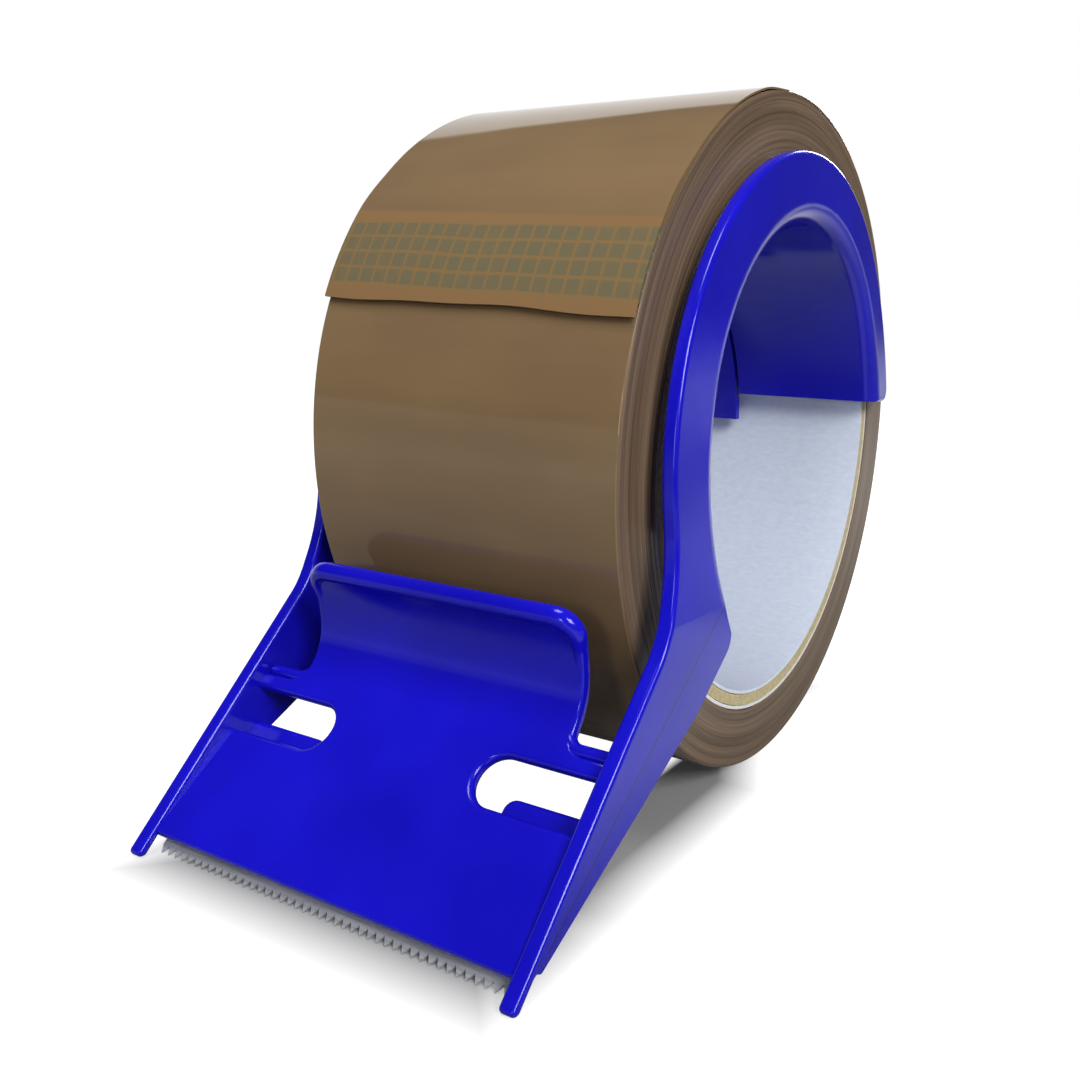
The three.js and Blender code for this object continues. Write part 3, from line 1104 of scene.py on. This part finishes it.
@dataclass
class DispenserFrame:
    """The one-piece moulding: cheeks, arches, hub shells, plate, fence, guides and blade lip. Millimetres."""

    roll_radius: float = 50.0
    inner_x: float = 28.0
    wall: float = 2.2
    overrun: float = 4.0
    lap: float = 0.5
    # Cheeks and arches
    rim_edge: float = 0.6
    rim_angle: float = 45.6
    toe_ahead: float = 3.2
    toe_thickness: float = 1.3
    toe_round: float = 0.6
    notch_rise: float = 2.9
    notch_round: float = 0.7
    skirt_gap: float = 1.1
    skirt_rise: float = 2.2
    skirt_angle: float = 27.5
    skirt_recess: float = 0.3
    seam_angle: float = 36.2
    belly_round: float = 9.0
    heel_length: float = 10.4
    heel_drop: float = 20.9
    heel_round: float = 3.0
    arch_cover: float = 8.4
    arch_lead: float = 1.4
    arch_drop: float = 0.7
    leg_setback: float = 1.3
    rear_rise: float = 7.6
    rear_round: float = 2.0
    rim_blend: float = 9.0
    arc_clear: float = 5.0
    lean_start: float = 33.0
    lean_in: float = 2.8
    rear_lean: float = 1.4
    slice_along: float = 1.5
    slice_up: float = 2.0
    # Hub shells
    hub_outer: float = 36.01
    hub_setback: float = 0.8
    hub_drop: float = 1.6
    hub_wall: float = 1.5
    hub_gap: float = 0.8
    hub_front_drop: float = 6.6
    left_hub_rise: float = 2.6
    mouth_width: float = 3.2
    mouth_depth: float = 2.8
    # Plate with its slots and guides
    plate_ahead: float = 24.8
    plate_lift: float = 2.7
    plate_thickness: float = 1.7
    plate_nose: float = 0.5
    plate_angle: float = 41.4
    strip_width: float = 2.2
    strip_round: float = 0.7
    slot_start: float = 15.9
    slot_width: float = 6.6
    slot_depth: float = 16.0
    slot_round: float = 3.2
    slot_edge: float = 0.75
    guide_lead: float = 0.7
    guide_width: float = 3.8
    guide_depth: float = 13.0
    guide_thickness: float = 2.0
    guide_corner: float = 1.6
    guide_edge: float = 0.8
    tape_room: float = 1.8
    # Fence and its bead
    fence_setback: float = 3.7
    fence_bend: float = 8.3
    fence_crown: float = 15.0
    crown_angle: float = 30.0
    fence_gap: float = 6.4
    fence_corner: float = 3.6
    fence_flare: float = 2.4
    fence_edge: float = 0.5
    fence_root: float = 1.0
    fence_slice: float = 0.35
    fence_bead: float = 2.6
    fence_side_bead: float = 1.74
    bead_swell: float = 7.0
    bead_lead: float = 0.4
    # Lip under the plate
    blade_room: float = 1.0
    blade_groove: float = 7.25
    lip_start: float = 3.5
    lip_wall: float = 0.9
    lip_rear: float = 2.2

    def __post_init__(self) -> None:
        """Works out the places that several pieces share."""
        self.outer_x = self.inner_x + self.wall
        self.fence_x = self.inner_x - self.fence_gap
        self.hub_inner = self.hub_outer - self.hub_wall
        self.leg_radius = self.hub_inner + self.leg_setback
        self.arch_radius = self.hub_outer + self.arch_cover
        self.plate_front = self.roll_radius + self.plate_ahead
        self.slot_end = self.slot_start + self.slot_width
        self.strip_end = self.slot_end + self.strip_width
        self.hub_centre: Point = (self.hub_setback, self.roll_radius - self.hub_drop)
        self.arch_centre: Point = (self.hub_centre[0] - self.arch_lead, self.hub_centre[1] - self.arch_drop)
        self.arch_rear = self.arch_centre[0] + self.arch_radius
        self.arch_top = self.arch_centre[1] + self.arch_radius
        run = 1 / math.sin(math.radians(self.rim_angle))
        front = -self.plate_front - self.toe_ahead
        self.toe_tip: Point = (front, 0.0)
        self.toe_heel: Point = (front + self.toe_thickness * run, 0.0)
        self.notch = along(self.toe_heel, self.rim_angle, self.notch_rise * run)
        self.skirt_toe: Point = (self.notch[0] + self.skirt_gap, self.skirt_rise)
        self.heel_bearing = 180 + bearing_at_rise(self.leg_radius, self.heel_drop)
        self.heel = along(self.hub_centre, self.heel_bearing, self.leg_radius)
        reach = self.heel[0] - self.heel_length - self.skirt_toe[0]
        self.belly = along(self.skirt_toe, self.skirt_angle, reach / math.cos(math.radians(self.skirt_angle)))
        self.half_sheet = self.plate_thickness / 2
        self.fence_foot = self.strip_end - self.lap
        self.bend_at = self.slot_end + self.fence_setback
        self.bend_radius = self.fence_bend + self.half_sheet
        self.crown_radius = self.fence_crown + self.half_sheet
        self.bend_length = self.bend_radius * math.radians(90 - self.plate_angle)

    def on_slope(self, up: float, above: float) -> Point:
        """A side-view point on the plate, up its slope and above its upper face."""
        foot = along((-self.plate_front, self.plate_lift), self.plate_angle, up)
        return along(foot, self.plate_angle + 90, above)

    def across(self, points: np.ndarray) -> np.ndarray:
        """Stands a side-view body up, its height along X."""
        return points[:, [2, 0, 1]]

    def over_plate(self, points: np.ndarray) -> np.ndarray:
        """Lays a body on the plate.

        Args:
            points: Its points as X, distance up the slope and height above the face.

        Returns:
            The points as X, Y and Z.
        """
        turn = math.radians(self.plate_angle)
        up, above = points[:, 1], points[:, 2]
        y = -self.plate_front + up * math.cos(turn) - above * math.sin(turn)
        z = self.plate_lift + up * math.sin(turn) + above * math.cos(turn)
        return np.column_stack([points[:, 0], y, z])

    def cheek_outline(self) -> list[Point]:
        """The side view of a cheek with its arch.

        Returns:
            One closed outline.
        """
        hub, arch_at, leg, reach = self.hub_centre, self.arch_centre, self.leg_radius, self.arch_radius
        rear = bearing_at_rise(reach, self.rear_rise + self.arch_drop)
        rear_inner = along(hub, bearing_at_rise(leg, self.rear_rise), leg)
        rear_outer = along(arch_at, rear, reach)
        rim_top = line_meets_circle(self.toe_tip, self.rim_angle, arch_at, reach)
        rim_end = along(rim_top, self.rim_angle + 180, self.rim_blend)
        arch_end = bearing(arch_at, rim_top) + 360 - math.degrees(self.rim_blend / reach)
        foot = along(arch_at, arch_end, reach)
        steer = self.rim_blend / 2
        bend = [foot, along(foot, arch_end + 90, steer), along(rim_end, self.rim_angle, steer), rim_end]
        leg_start, rear_start = self.heel_bearing - self.arc_clear, rear + self.arc_clear
        return [
            *corner(rim_end, self.toe_tip, self.toe_heel, self.toe_round),
            *corner(self.toe_tip, self.toe_heel, self.notch, self.toe_round),
            *corner(self.toe_heel, self.notch, self.skirt_toe, self.notch_round),
            *corner(self.notch, self.skirt_toe, self.belly, self.notch_round),
            *corner(self.skirt_toe, self.belly, self.heel, self.belly_round, step=3.0),
            *corner(self.belly, self.heel, along(hub, leg_start, leg), self.heel_round),
            *arc(hub, leg, leg_start, bearing_at_rise(leg, self.rear_rise)),
            *corner(rear_inner, rear_outer, along(arch_at, rear_start, reach), self.rear_round),
            *arc(arch_at, reach, rear_start, arch_end),
            *eased_bend(bend),
        ]

    def hub_outline(self, rise: float) -> list[Point]:
        """The side view of a hub shell, cut level at both ends.

        Args:
            rise: How high over the hub's middle the shell ends at the rear.

        Returns:
            One closed outline.
        """
        outline: list[Point] = []
        for radius, turn in ((self.hub_outer, 1), (self.hub_inner, -1)):
            ends = (bearing_at_rise(radius, rise), 180 + bearing_at_rise(radius, self.hub_front_drop))
            outline += arc(self.hub_centre, radius, *ends[::turn])
        return outline

    def mouth(self) -> bpy.types.Object:
        """The rounded mouth that is cut into the outer end of a hub.

        Returns:
            The cutting solid.
        """
        beside_axis = 0.01
        profile: list[Point] = [(beside_axis, self.outer_x - self.mouth_depth)]
        for wider, inward in quarter_round(self.mouth_width, self.mouth_depth, steps=12):
            profile.append((self.hub_inner + wider, self.outer_x - inward))
        profile.append((self.hub_inner + self.mouth_width, self.outer_x + self.overrun))
        profile.append((beside_axis, self.outer_x + self.overrun))
        centre = np.array([0.0, *self.hub_centre])
        return Shape.lathe(profile).placed(lambda points: points + centre).made("mouth")

    def leaned(self, points: np.ndarray) -> np.ndarray:
        """Leans a side in towards the roll above the plate, and more at its rear leg.

        Args:
            points: The side's points, one row each.

        Returns:
            The points, moved in.
        """
        up = np.maximum(0.0, points[:, 2] - self.lean_start) / (self.arch_top - self.lean_start)
        back = np.maximum(0.0, points[:, 1] - self.heel[0]) / (self.arch_rear - self.heel[0])
        moved_in = points.copy()
        moved_in[:, 0] *= 1 - (self.lean_in * up * (2 - up) + self.rear_lean * back**2) / self.outer_x
        return moved_in

    def guide(self) -> Shape:
        """The bar under a slot that the tape's edge runs over.

        Returns:
            The bar, flat on the plate.
        """
        back = -(self.plate_thickness + self.tape_room + self.guide_thickness)
        start = self.slot_start - self.guide_lead
        end = start + self.guide_width
        tip, root = self.inner_x - self.guide_depth, self.inner_x + self.wall / 2
        outline = rounded([
            ((tip, start), self.guide_corner), ((root, start), 0.0),
            ((root, end), 0.0), ((tip, end), self.guide_corner),
        ])
        return Shape.prism(outline, back, back + self.guide_thickness, self.guide_edge)

    def skirt(self) -> Shape:
        """What is taken off a cheek's outer face below its seam, so that the skirt is set back.

        Returns:
            The cutting solid, in side view.
        """
        far_run = (self.heel[0] + self.overrun - self.notch[0]) / math.cos(math.radians(self.seam_angle))
        far = along(self.notch, self.seam_angle, far_run)
        below = [self.notch, (self.notch[0], -self.overrun), (far[0], -self.overrun), far]
        return Shape.prism(below, self.outer_x - self.skirt_recess, self.outer_x + self.overrun)

    def side(self, hub_rise: float, mirror: bool) -> bpy.types.Object:
        """One cheek with arch, hub shell and tape guide.

        Args:
            hub_rise: How high over the hub's middle its shell ends at the rear.
            mirror: Whether it is the left one.

        Returns:
            The solid.
        """
        cheek = Shape.prism(self.cheek_outline(), self.inner_x, self.outer_x, self.rim_edge)
        hub = Shape.prism(self.hub_outline(hub_rise), self.hub_gap / 2, self.outer_x)
        body = cheek.placed(self.across).made("cheek")
        parts = [hub.placed(self.across).made("hub"), self.guide().placed(self.over_plate).made("guide")]
        combined(body, parts, Cut.JOIN)
        combined(body, [self.mouth(), self.skirt().placed(self.across).made("skirt")], Cut.REMOVE)
        sliced(body.data, 1, list(np.arange(self.heel[0], self.arch_rear, self.slice_along)))
        sliced(body.data, 2, list(np.arange(self.lean_start, self.arch_top, self.slice_up)))
        moved(body.data, self.leaned)
        if mirror:
            moved(body.data, lambda points: points * MIRROR)
            body.data.flip_normals()
        return body

    def plate(self) -> bpy.types.Object:
        """The sloping plate with its two slots, their edges rounded.

        Returns:
            The solid.
        """
        profile = rounded([
            (self.on_slope(0, 0), self.plate_nose),
            (self.on_slope(0, -self.plate_thickness), self.plate_nose),
            (self.on_slope(self.strip_end, -self.plate_thickness), self.strip_round),
            (self.on_slope(self.strip_end, 0), self.strip_round),
        ])
        reach = self.inner_x + self.lap
        body = Shape.prism(profile, -reach, reach).placed(self.across).made("plate")
        inner, outer = self.inner_x - self.slot_depth, self.inner_x + self.overrun
        slot = rounded([
            ((inner, self.slot_start), self.slot_round), ((outer, self.slot_start), 0.0),
            ((outer, self.slot_end), 0.0), ((inner, self.slot_end), self.slot_round),
        ])
        turn = quarter_round(self.slot_edge, self.slot_edge)
        lower = [(rise - self.plate_thickness, outward) for rise, outward in turn]
        upper = [(-rise, outward) for rise, outward in reversed(turn)]
        bottom = (-self.plate_thickness - self.overrun, self.slot_edge)
        rings = [bottom, *lower, *upper, (self.overrun, self.slot_edge)]
        cutter = Shape.loft(slot, rings).placed(self.over_plate)
        cuts = [cutter.made("right_slot"), cutter.placed(lambda points: points * MIRROR).made("left_slot")]
        return combined(body, cuts, Cut.REMOVE)

    def bent(self, points: np.ndarray) -> np.ndarray:
        """Bends the flat fence up from the plate and over at its crown.

        Args:
            points: Its points as X, distance from its foot along the sheet and height over its middle.

        Returns:
            The points as X, Y and Z.
        """
        bend = self.on_slope(self.bend_at, self.fence_bend)
        crown = (bend[0] + self.fence_bend - self.fence_crown, bend[1])
        straight = self.bend_at - self.fence_foot
        placed = []
        for x, run, height in points:
            if run < straight:
                y, z = self.on_slope(self.fence_foot + run, height - self.half_sheet)
            elif run < straight + self.bend_length:
                angle = math.degrees((run - straight) / self.bend_radius) - 90 + self.plate_angle
                y, z = along(bend, angle, self.bend_radius - height)
            else:
                angle = math.degrees((run - straight - self.bend_length) / self.crown_radius)
                y, z = along(crown, angle, self.crown_radius - height)
            placed.append((x, y, z))
        return np.array(placed)

    def fence(self) -> list[bpy.types.Object]:
        """The curved fence and the rounded bead round its edge.

        Returns:
            The sheet and the bead.
        """
        crown_length = self.crown_radius * math.radians(self.crown_angle)
        top = self.bend_at - self.fence_foot + self.bend_length + crown_length
        foot, wide, side, root = self.lap, self.inner_x, self.fence_x, -self.fence_root
        outline = rounded([
            ((-wide, root), 0.0), ((wide, root), 0.0), ((wide, foot), 0.0), ((side, foot), self.fence_flare),
            ((side, top), self.fence_corner), ((-side, top), self.fence_corner),
            ((-side, foot), self.fence_flare), ((-wide, foot), 0.0),
        ])
        sheet = Shape.prism(outline, -self.half_sheet, self.half_sheet, self.fence_edge).made("fence")
        sliced(sheet.data, 1, list(np.arange(-self.lap, top, self.fence_slice)))
        moved(sheet.data, self.bent)
        thin, thick = self.fence_side_bead / 2, self.fence_bead / 2
        start, inset, step = foot + thin, side - thin, 4.0
        rise = np.arange(start + self.fence_flare + self.bead_lead, top - self.fence_corner, self.fence_slice)
        right = [
            *corner((wide, start), (inset, start), (inset, top), self.fence_flare, step),
            *[(inset, y) for y in rise],
            *corner((inset, foot), (inset, top), (0.0, top), self.fence_corner - thin, step),
        ]
        left = [(-x, y) for x, y in reversed(right)]
        path = [(wide - self.lap, start), *right, *left, (self.lap - wide, start)]
        radii = [thin + (thick - thin) * smooth_step((y - top) / self.bead_swell + 1) for _, y in path]
        bead = Shape.bead(path, radii).placed(self.bent).made("bead")
        return [sheet, bead]

    def lip(self) -> bpy.types.Object:
        """The lip under the plate that grips the blade.

        Returns:
            The solid.
        """
        top = -(self.plate_thickness + self.blade_room)
        groove, under = self.blade_groove, self.lap - self.plate_thickness
        outline = [
            self.on_slope(self.lip_start, top), self.on_slope(groove, top), self.on_slope(groove, under),
            self.on_slope(groove + self.lip_rear + self.lip_wall, under),
            self.on_slope(groove + self.lip_rear, top - self.lip_wall),
            self.on_slope(self.lip_start, top - self.lip_wall),
        ]
        reach = self.inner_x + self.lap
        return Shape.prism(outline, -reach, reach).placed(self.across).made("lip")

    def build(self) -> list[bpy.types.Object]:
        """Builds the moulding as one piece.

        Returns:
            The piece.
        """
        body = self.side(self.rear_rise, False)
        others = [self.side(self.left_hub_rise, True), self.plate(), *self.fence(), self.lip()]
        body = combined(body, others, Cut.JOIN)
        body.name = "frame_moulding"
        finished(body, Body.HOLDER, "frame")
        body.data.materials.clear()
        body.data.materials.append(MouldedPlastic(self.notch, self.seam_angle, self.outer_x).material())
        return [body]


@dataclass
class CuttingBlade:
    """The toothed steel strip under the plate's front edge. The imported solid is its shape."""

    def build(self) -> list[bpy.types.Object]:
        """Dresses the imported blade."""
        return [dressed("blade", RolledSteel().material())]


@dataclass
class TapeRoll:
    """The roll of tape: its core's plies, the winding, and the free end over its strip. Millimetres."""

    radius: float = 50.0
    core_radius: float = 41.1
    width: float = 48.0
    edge: float = 0.4
    side_rings: int = 12
    film: float = 0.25
    seam: float = 0.15
    tab_thickness: float = 0.2
    tab_length: float = 10.5
    tab_setback: float = 1.7
    end_length: float = 52.0
    end_left: float = 157.0
    end_right: float = 159.1
    # Each wave of the free end: its height in degrees, its rate across the tape and where it starts.
    end_waves: tuple[Wave, ...] = ((0.22, 7.3, 0.6), (0.1, 17.0, 0.0))
    film_sink: float = 0.03
    sink_turn: float = 9.0
    rows_across: int = 49
    rows_along: int = 97

    def turn(self, length: float) -> float:
        """The turn that a length round the roll takes, in degrees."""
        return math.degrees(length / self.radius)

    def end_bearing(self, share: float) -> float:
        """Where the free end lies, from the left edge of the tape at 0 to the right at 1."""
        wave = sum(height * math.sin(rate * share + start) for height, rate, start in self.end_waves)
        return self.end_left + (self.end_right - self.end_left) * share + wave

    def strip(self, name: str, start: Callable[[float], float], stop: Callable[[float], float],
              height: Callable[[float], float], thickness: float) -> bpy.types.Object:
        """A strip that lies round the roll.

        Args:
            name: The piece's name.
            start: The bearing of its first edge, across the tape from 0 to 1.
            stop: The bearing of its last edge, in the same way.
            height: How high over the tape it lies, at each bearing.
            thickness: Its thickness.

        Returns:
            The strip, closed all round.
        """
        wide, long = self.rows_across, self.rows_along
        points, faces = [], []
        for level in (0.0, thickness):
            for i in range(long):
                for j in range(wide):
                    share = j / (wide - 1)
                    degrees = start(share) + (stop(share) - start(share)) * i / (long - 1)
                    y, z = along((0.0, self.radius), degrees, self.radius + height(degrees) + level)
                    points.append((self.width * (share - 0.5), y, z))
        layer = wide * long
        for i in range(long - 1):
            for j in range(wide - 1):
                a = i * wide + j
                faces.append((a, a + 1, a + wide + 1, a + wide))
                faces.append(tuple(layer + k for k in (a + wide, a + wide + 1, a + 1, a)))
        rim = [*range(wide), *[i * wide + wide - 1 for i in range(1, long)]]
        rim += [layer - 1 - j for j in range(1, wide)] + [i * wide for i in range(long - 2, 0, -1)]
        for a, b in zip(rim, rim[1:] + rim[:1]):
            faces.append((a, b, layer + b, layer + a))
        return Shape(np.array(points), faces).made(name)

    def winding(self) -> bpy.types.Object:
        """The wound tape, with its film outside and the turns' rings at its sides.

        Returns:
            The piece.
        """
        half = self.width / 2
        turn = quarter_round(self.edge, self.edge, steps=5)
        outer = [(self.radius - lower, half - inward) for lower, inward in turn]
        radii = np.linspace(self.core_radius, self.radius - self.edge, self.side_rings)
        right = [*[(r, half) for r in radii[:-1]], *reversed(outer)]
        profile = [*right, *[(r, -x) for r, x in reversed(right)]]
        axis = np.array([0.0, 0.0, self.radius])
        piece = Shape.ring(profile).placed(lambda points: points + axis).made("tape_turns")
        piece.data.materials.append(TapeFilm().material())
        piece.data.materials.append(RollSide().material())
        for face in piece.data.polygons:
            face.material_index = int(abs(face.normal.x) > SIDEWAYS)
        return finished(piece, Body.ROLL, "tape_winding")

    def free_end(self) -> bpy.types.Object:
        """The last stretch of film, which settles from the strip down to the turn below.

        Returns:
            The piece.
        """
        middle = (self.end_left + self.end_right) / 2
        tab_end = middle - self.turn(self.tab_setback + self.tab_length)
        far = middle - self.turn(self.end_length)
        settling = self.turn(self.tab_length - self.tab_setback)

        def height(degrees: float) -> float:
            """How high the film lies over the tape, into which it runs at its far end.

            Args:
                degrees: The bearing.

            Returns:
                The height.
            """
            share = (tab_end - degrees - self.turn(self.tab_setback)) / settling
            near_far = smooth_step(1 - (degrees - far) / self.sink_turn)
            sunk = (self.film + self.seam + self.film_sink) * near_far
            return self.seam + (self.tab_thickness + self.seam) * (1 - smooth_step(share)) - sunk

        piece = self.strip("free_end", self.end_bearing, lambda _: far, height, self.film)
        piece.data.materials.append(PrintedFilm().material())
        return finished(piece, Body.ROLL, "tape_end")

    def tab(self) -> bpy.types.Object:
        """The printed strip under the free end.

        Returns:
            The piece.
        """

        def start(share: float) -> float:
            """Where the strip begins, across the tape."""
            return self.end_bearing(share) - self.turn(self.tab_setback)

        def stop(share: float) -> float:
            """Where the strip ends, across the tape."""
            return start(share) - self.turn(self.tab_length)

        piece = self.strip("printed_tab", start, stop, lambda _: self.seam, self.tab_thickness)
        piece.data.materials.append(GridStrip().material())
        return finished(piece, Body.ROLL, "starter_tab")

    def build(self) -> list[bpy.types.Object]:
        """Builds and dresses the roll's pieces.

        Returns:
            The pieces, from the core outwards.
        """
        liner = PaperPly("liner_paper", colour=0xE2EAF6, fibre=0xD8E1EF, seam_pitch=0.118)
        wrap = PaperPly("wrap_paper", colour=0xF2F3F5, fibre=0xE6E7E9)
        return [
            dressed("core_liner", liner.material()),
            dressed("core_board", WoundBoard().material()),
            dressed("core_wrap", wrap.material()),
            self.winding(),
            self.tab(),
            self.free_end(),
        ]


@dataclass(frozen=True)
class Lamp:
    """A soft lamp that faces the object. Metres and watts."""

    name: str
    place: Place
    size: tuple[float, float]
    power: float
    aim: Place = (0.0, 0.0, 0.04)

    def hang(self) -> None:
        """Hangs the lamp in its place."""
        light = bpy.data.lights.new(self.name, "AREA")
        light.shape = "RECTANGLE"
        light.size, light.size_y = self.size
        light.energy = self.power
        lamp = bpy.data.objects.new(self.name, light)
        lamp.location = self.place
        lamp.rotation_euler = (Vector(self.aim) - Vector(self.place)).to_track_quat("-Z", "Y").to_euler()
        bpy.context.scene.collection.objects.link(lamp)


@dataclass
class Studio:
    """Pale floor, soft lamps, white surroundings and the camera. Metres and degrees."""

    # Camera
    camera_at: Place = (0.08158, -0.13279, 0.06587)
    camera_turn: Place = (76.0292, -2.0842, 29.2881)
    sensor: float = 36.0
    lens: float = 33.4257
    shift: tuple[float, float] = (-0.10185, 0.04373)
    clip: tuple[float, float] = (0.005, 20.0)
    # Surroundings, as seen in mirrors and as a light
    surroundings: float = 0.25
    front_share: float = 0.4
    front_to_back: tuple[float, float] = (-0.3, 0.3)
    backdrop: float = 0.5
    wall_top: tuple[float, float] = (0.1, 0.13)
    flag_edge: tuple[float, float] = (-0.08, 0.1)
    flag: float = 0.6
    overhead: float = 0.08
    # Floor, and the painted light it glows with in mirrors
    floor_size: float = 3.0
    floor_glow: float = 0.02
    floor_shade: float = 0.28
    floor_bounce: float = 0.2
    floor_roughness: float = 0.9
    floor_gloss: float = 0.1
    far_span: tuple[float, float] = (0.1, 0.4)
    right_span: tuple[float, float] = (0.1, 0.25)
    right_share: float = 0.15
    front_span: tuple[float, float] = (-0.12, -0.1)
    near_left: tuple[float, float] = (0.035, 0.05)
    near_right: tuple[float, float] = (0.09, 0.12)
    near_rear: tuple[float, float] = (0.07, 0.1)
    near_share: float = 0.7
    # Where the camera sees the shadow end, and where the painted light on the floor behind the slots begins
    shadow_side: tuple[float, float] = (0.0228, 0.032)
    shadow_front: tuple[float, float] = (-0.0705, -0.0605)
    shadow_rear: tuple[float, float] = (0.035, 0.055)
    shadow_narrows: tuple[float, float] = (-0.002, 0.018)
    narrower: float = 0.009
    bright_left: tuple[float, float] = (0.013, 0.015)
    bright_behind: tuple[float, float] = (-0.055, -0.035)
    lamps: tuple[Lamp, ...] = (
        Lamp("key_lamp", (-0.05, -0.18, 0.85), (0.3, 0.3), 3.3),
        Lamp("rear_lamp", (-0.02, 0.8, 0.45), (0.12, 0.3), 2.5),
        Lamp("fill_lamp", (0.14, -0.85, 0.24), (0.12, 0.2), 1.0),
        Lamp("front_lamp", (0.58, -0.35, 0.48), (0.3, 0.3), 5.4),
    )

    def camera(self) -> None:
        """Places the camera as the photograph was taken."""
        lens = bpy.data.cameras.new("camera")
        lens.sensor_width = self.sensor
        lens.lens = self.lens
        lens.shift_x, lens.shift_y = self.shift
        lens.clip_start, lens.clip_end = self.clip
        camera = bpy.data.objects.new("camera", lens)
        camera.location = self.camera_at
        camera.rotation_euler = Euler([math.radians(a) for a in self.camera_turn], "XYZ")
        bpy.context.scene.collection.objects.link(camera)
        bpy.context.scene.camera = camera

    def world(self) -> None:
        """Makes the surroundings: white for the camera, and in mirrors dark overhead and to the right."""
        world = bpy.data.worlds.new("surroundings")
        world.use_nodes = True
        bpy.context.scene.world = world
        made = Nodes(world.node_tree)
        ground = made.tree.nodes["Background"]
        ground.inputs["Color"].default_value = WHITE
        x, y, z = made.split(made.tree.nodes.new("ShaderNodeTexCoord").outputs["Generated"])
        taller = made.mapped(y, self.front_to_back, 0.0, self.backdrop, eased=True)
        flag = made.mapped(x, self.flag_edge, 0.0, self.flag, eased=True)
        height = made.math("ADD", made.math("SUBTRACT", z, taller), flag)
        level = made.mapped(height, self.wall_top, 1.0, self.overhead, eased=True)
        share = made.mapped(y, self.front_to_back, self.front_share, 1.0, eased=True)
        shown = made.math("MAXIMUM", made.from_camera(), made.math("MULTIPLY", level, share))
        choice = made.tree.nodes.new("ShaderNodeMix")
        # Inputs 2 and 3 are the two numbers to choose between.
        for value, number in ((made.from_sight(), 0), (self.surroundings, 2), (shown, 3)):
            made.link(value, choice.inputs[number])
        made.link(choice.outputs[0], ground.inputs["Strength"])

    def glow_in_mirrors(self, made: Shading, x: Socket, y: Socket) -> Socket:
        """How bright the floor is in mirrors: bright far away and, as painted light, in a band at the right,
        else dark.

        Args:
            made: The floor's shading.
            x: Each place's X.
            y: Each place's Y.

        Returns:
            The brightness.
        """
        away = made.tree.nodes.new("ShaderNodeVectorMath")
        away.operation = "LENGTH"
        made.link(made.place, away.inputs[0])
        far = made.mapped(away.outputs["Value"], self.far_span, self.floor_glow, 1.0)
        far = made.math("MULTIPLY", far, made.mapped(x, self.right_span, 1.0, self.right_share))
        far = made.math("MULTIPLY", far, made.mapped(y, self.front_span, self.front_share, 1.0))
        # Painted light: a band of floor at the right glows only in mirrors, so that the cheek reflects it
        # lighter.
        band = made.mapped(x, self.near_left, 0.0, self.near_share)
        band = made.math("MULTIPLY", band, made.mapped(x, self.near_right, 1.0, 0.0))
        band = made.math("MULTIPLY", band, made.mapped(y, self.near_rear, 1.0, 0.0))
        return made.math("MAXIMUM", far, band)

    def glow_for_camera(self, made: Shading, x: Socket, y: Socket) -> Socket:
        """How brightly the floor glows for the camera, as painted light: white outside the narrow shadow,
        which it cuts short, and behind the slots, where the floor lies in shade.

        Args:
            made: The floor's shading.
            x: Each place's X.
            y: Each place's Y.

        Returns:
            The brightness.
        """
        narrowed = made.mapped(y, self.shadow_narrows, 0.0, self.narrower)
        side = made.math("ADD", made.math("ABSOLUTE", x), narrowed)
        # Painted light: the floor behind the slots glows white, though it lies in the roll's shade.
        left = made.mapped(x, self.bright_left, 1.0, 0.0)
        glow = made.math("MULTIPLY", left, made.mapped(y, self.bright_behind, 0.0, 1.0))
        glow = made.math("MAXIMUM", glow, made.mapped(side, self.shadow_side, self.floor_glow, 1.0))
        glow = made.math("MAXIMUM", glow, made.mapped(y, self.shadow_front, 1.0, self.floor_glow))
        glow = made.math("MAXIMUM", glow, made.mapped(y, self.shadow_rear, self.floor_glow, 1.0))
        return made.math("MULTIPLY", glow, made.from_camera())

    def floor(self) -> None:
        """Lays the pale floor."""
        half = self.floor_size / 2
        mesh = bpy.data.meshes.new("floor")
        square = [(-half, -half, 0), (half, -half, 0), (half, half, 0), (-half, half, 0)]
        mesh.from_pydata(square, [], [(0, 1, 2, 3)])
        floor = bpy.data.objects.new("floor", mesh)
        bpy.context.scene.collection.objects.link(floor)
        made = Shading("pale_floor")
        seen = made.from_sight()
        bounce, shade = ((level, level, level, 1.0) for level in (self.floor_bounce, self.floor_shade))
        x, y, _ = made.split(made.place)
        mirrored = made.math("MULTIPLY", seen, self.glow_in_mirrors(made, x, y))
        made.set(
            Base_Color=made.blend(seen, bounce, shade),
            Roughness=self.floor_roughness,
            Specular_IOR_Level=self.floor_gloss,
            Emission_Color=WHITE,
            Emission_Strength=made.math("MAXIMUM", self.glow_for_camera(made, x, y), mirrored),
        )
        mesh.materials.append(made.material)

    def build(self) -> None:
        """Builds the studio."""
        bpy.context.scene.view_settings.view_transform = "Standard"
        self.camera()
        self.world()
        self.floor()
        for lamp in self.lamps:
            lamp.hang()


def corners(box: tuple[Vector, Vector]) -> list[list[float]]:
    """A box's lowest and highest corners as plain lists."""
    return [list(corner_at) for corner_at in box]


def main() -> None:
    """Builds every sub-assembly in order and reports each piece."""
    logging.basicConfig(level=logging.INFO, format="%(message)s")
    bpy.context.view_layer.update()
    Studio().build()
    for assembly in (DispenserFrame(), CuttingBlade(), TapeRoll()):
        for piece in assembly.build():
            log.info("%s: %s, %d faces", type(assembly).__name__, piece.name, len(piece.data.polygons))


if __name__ == "__main__":
    main()
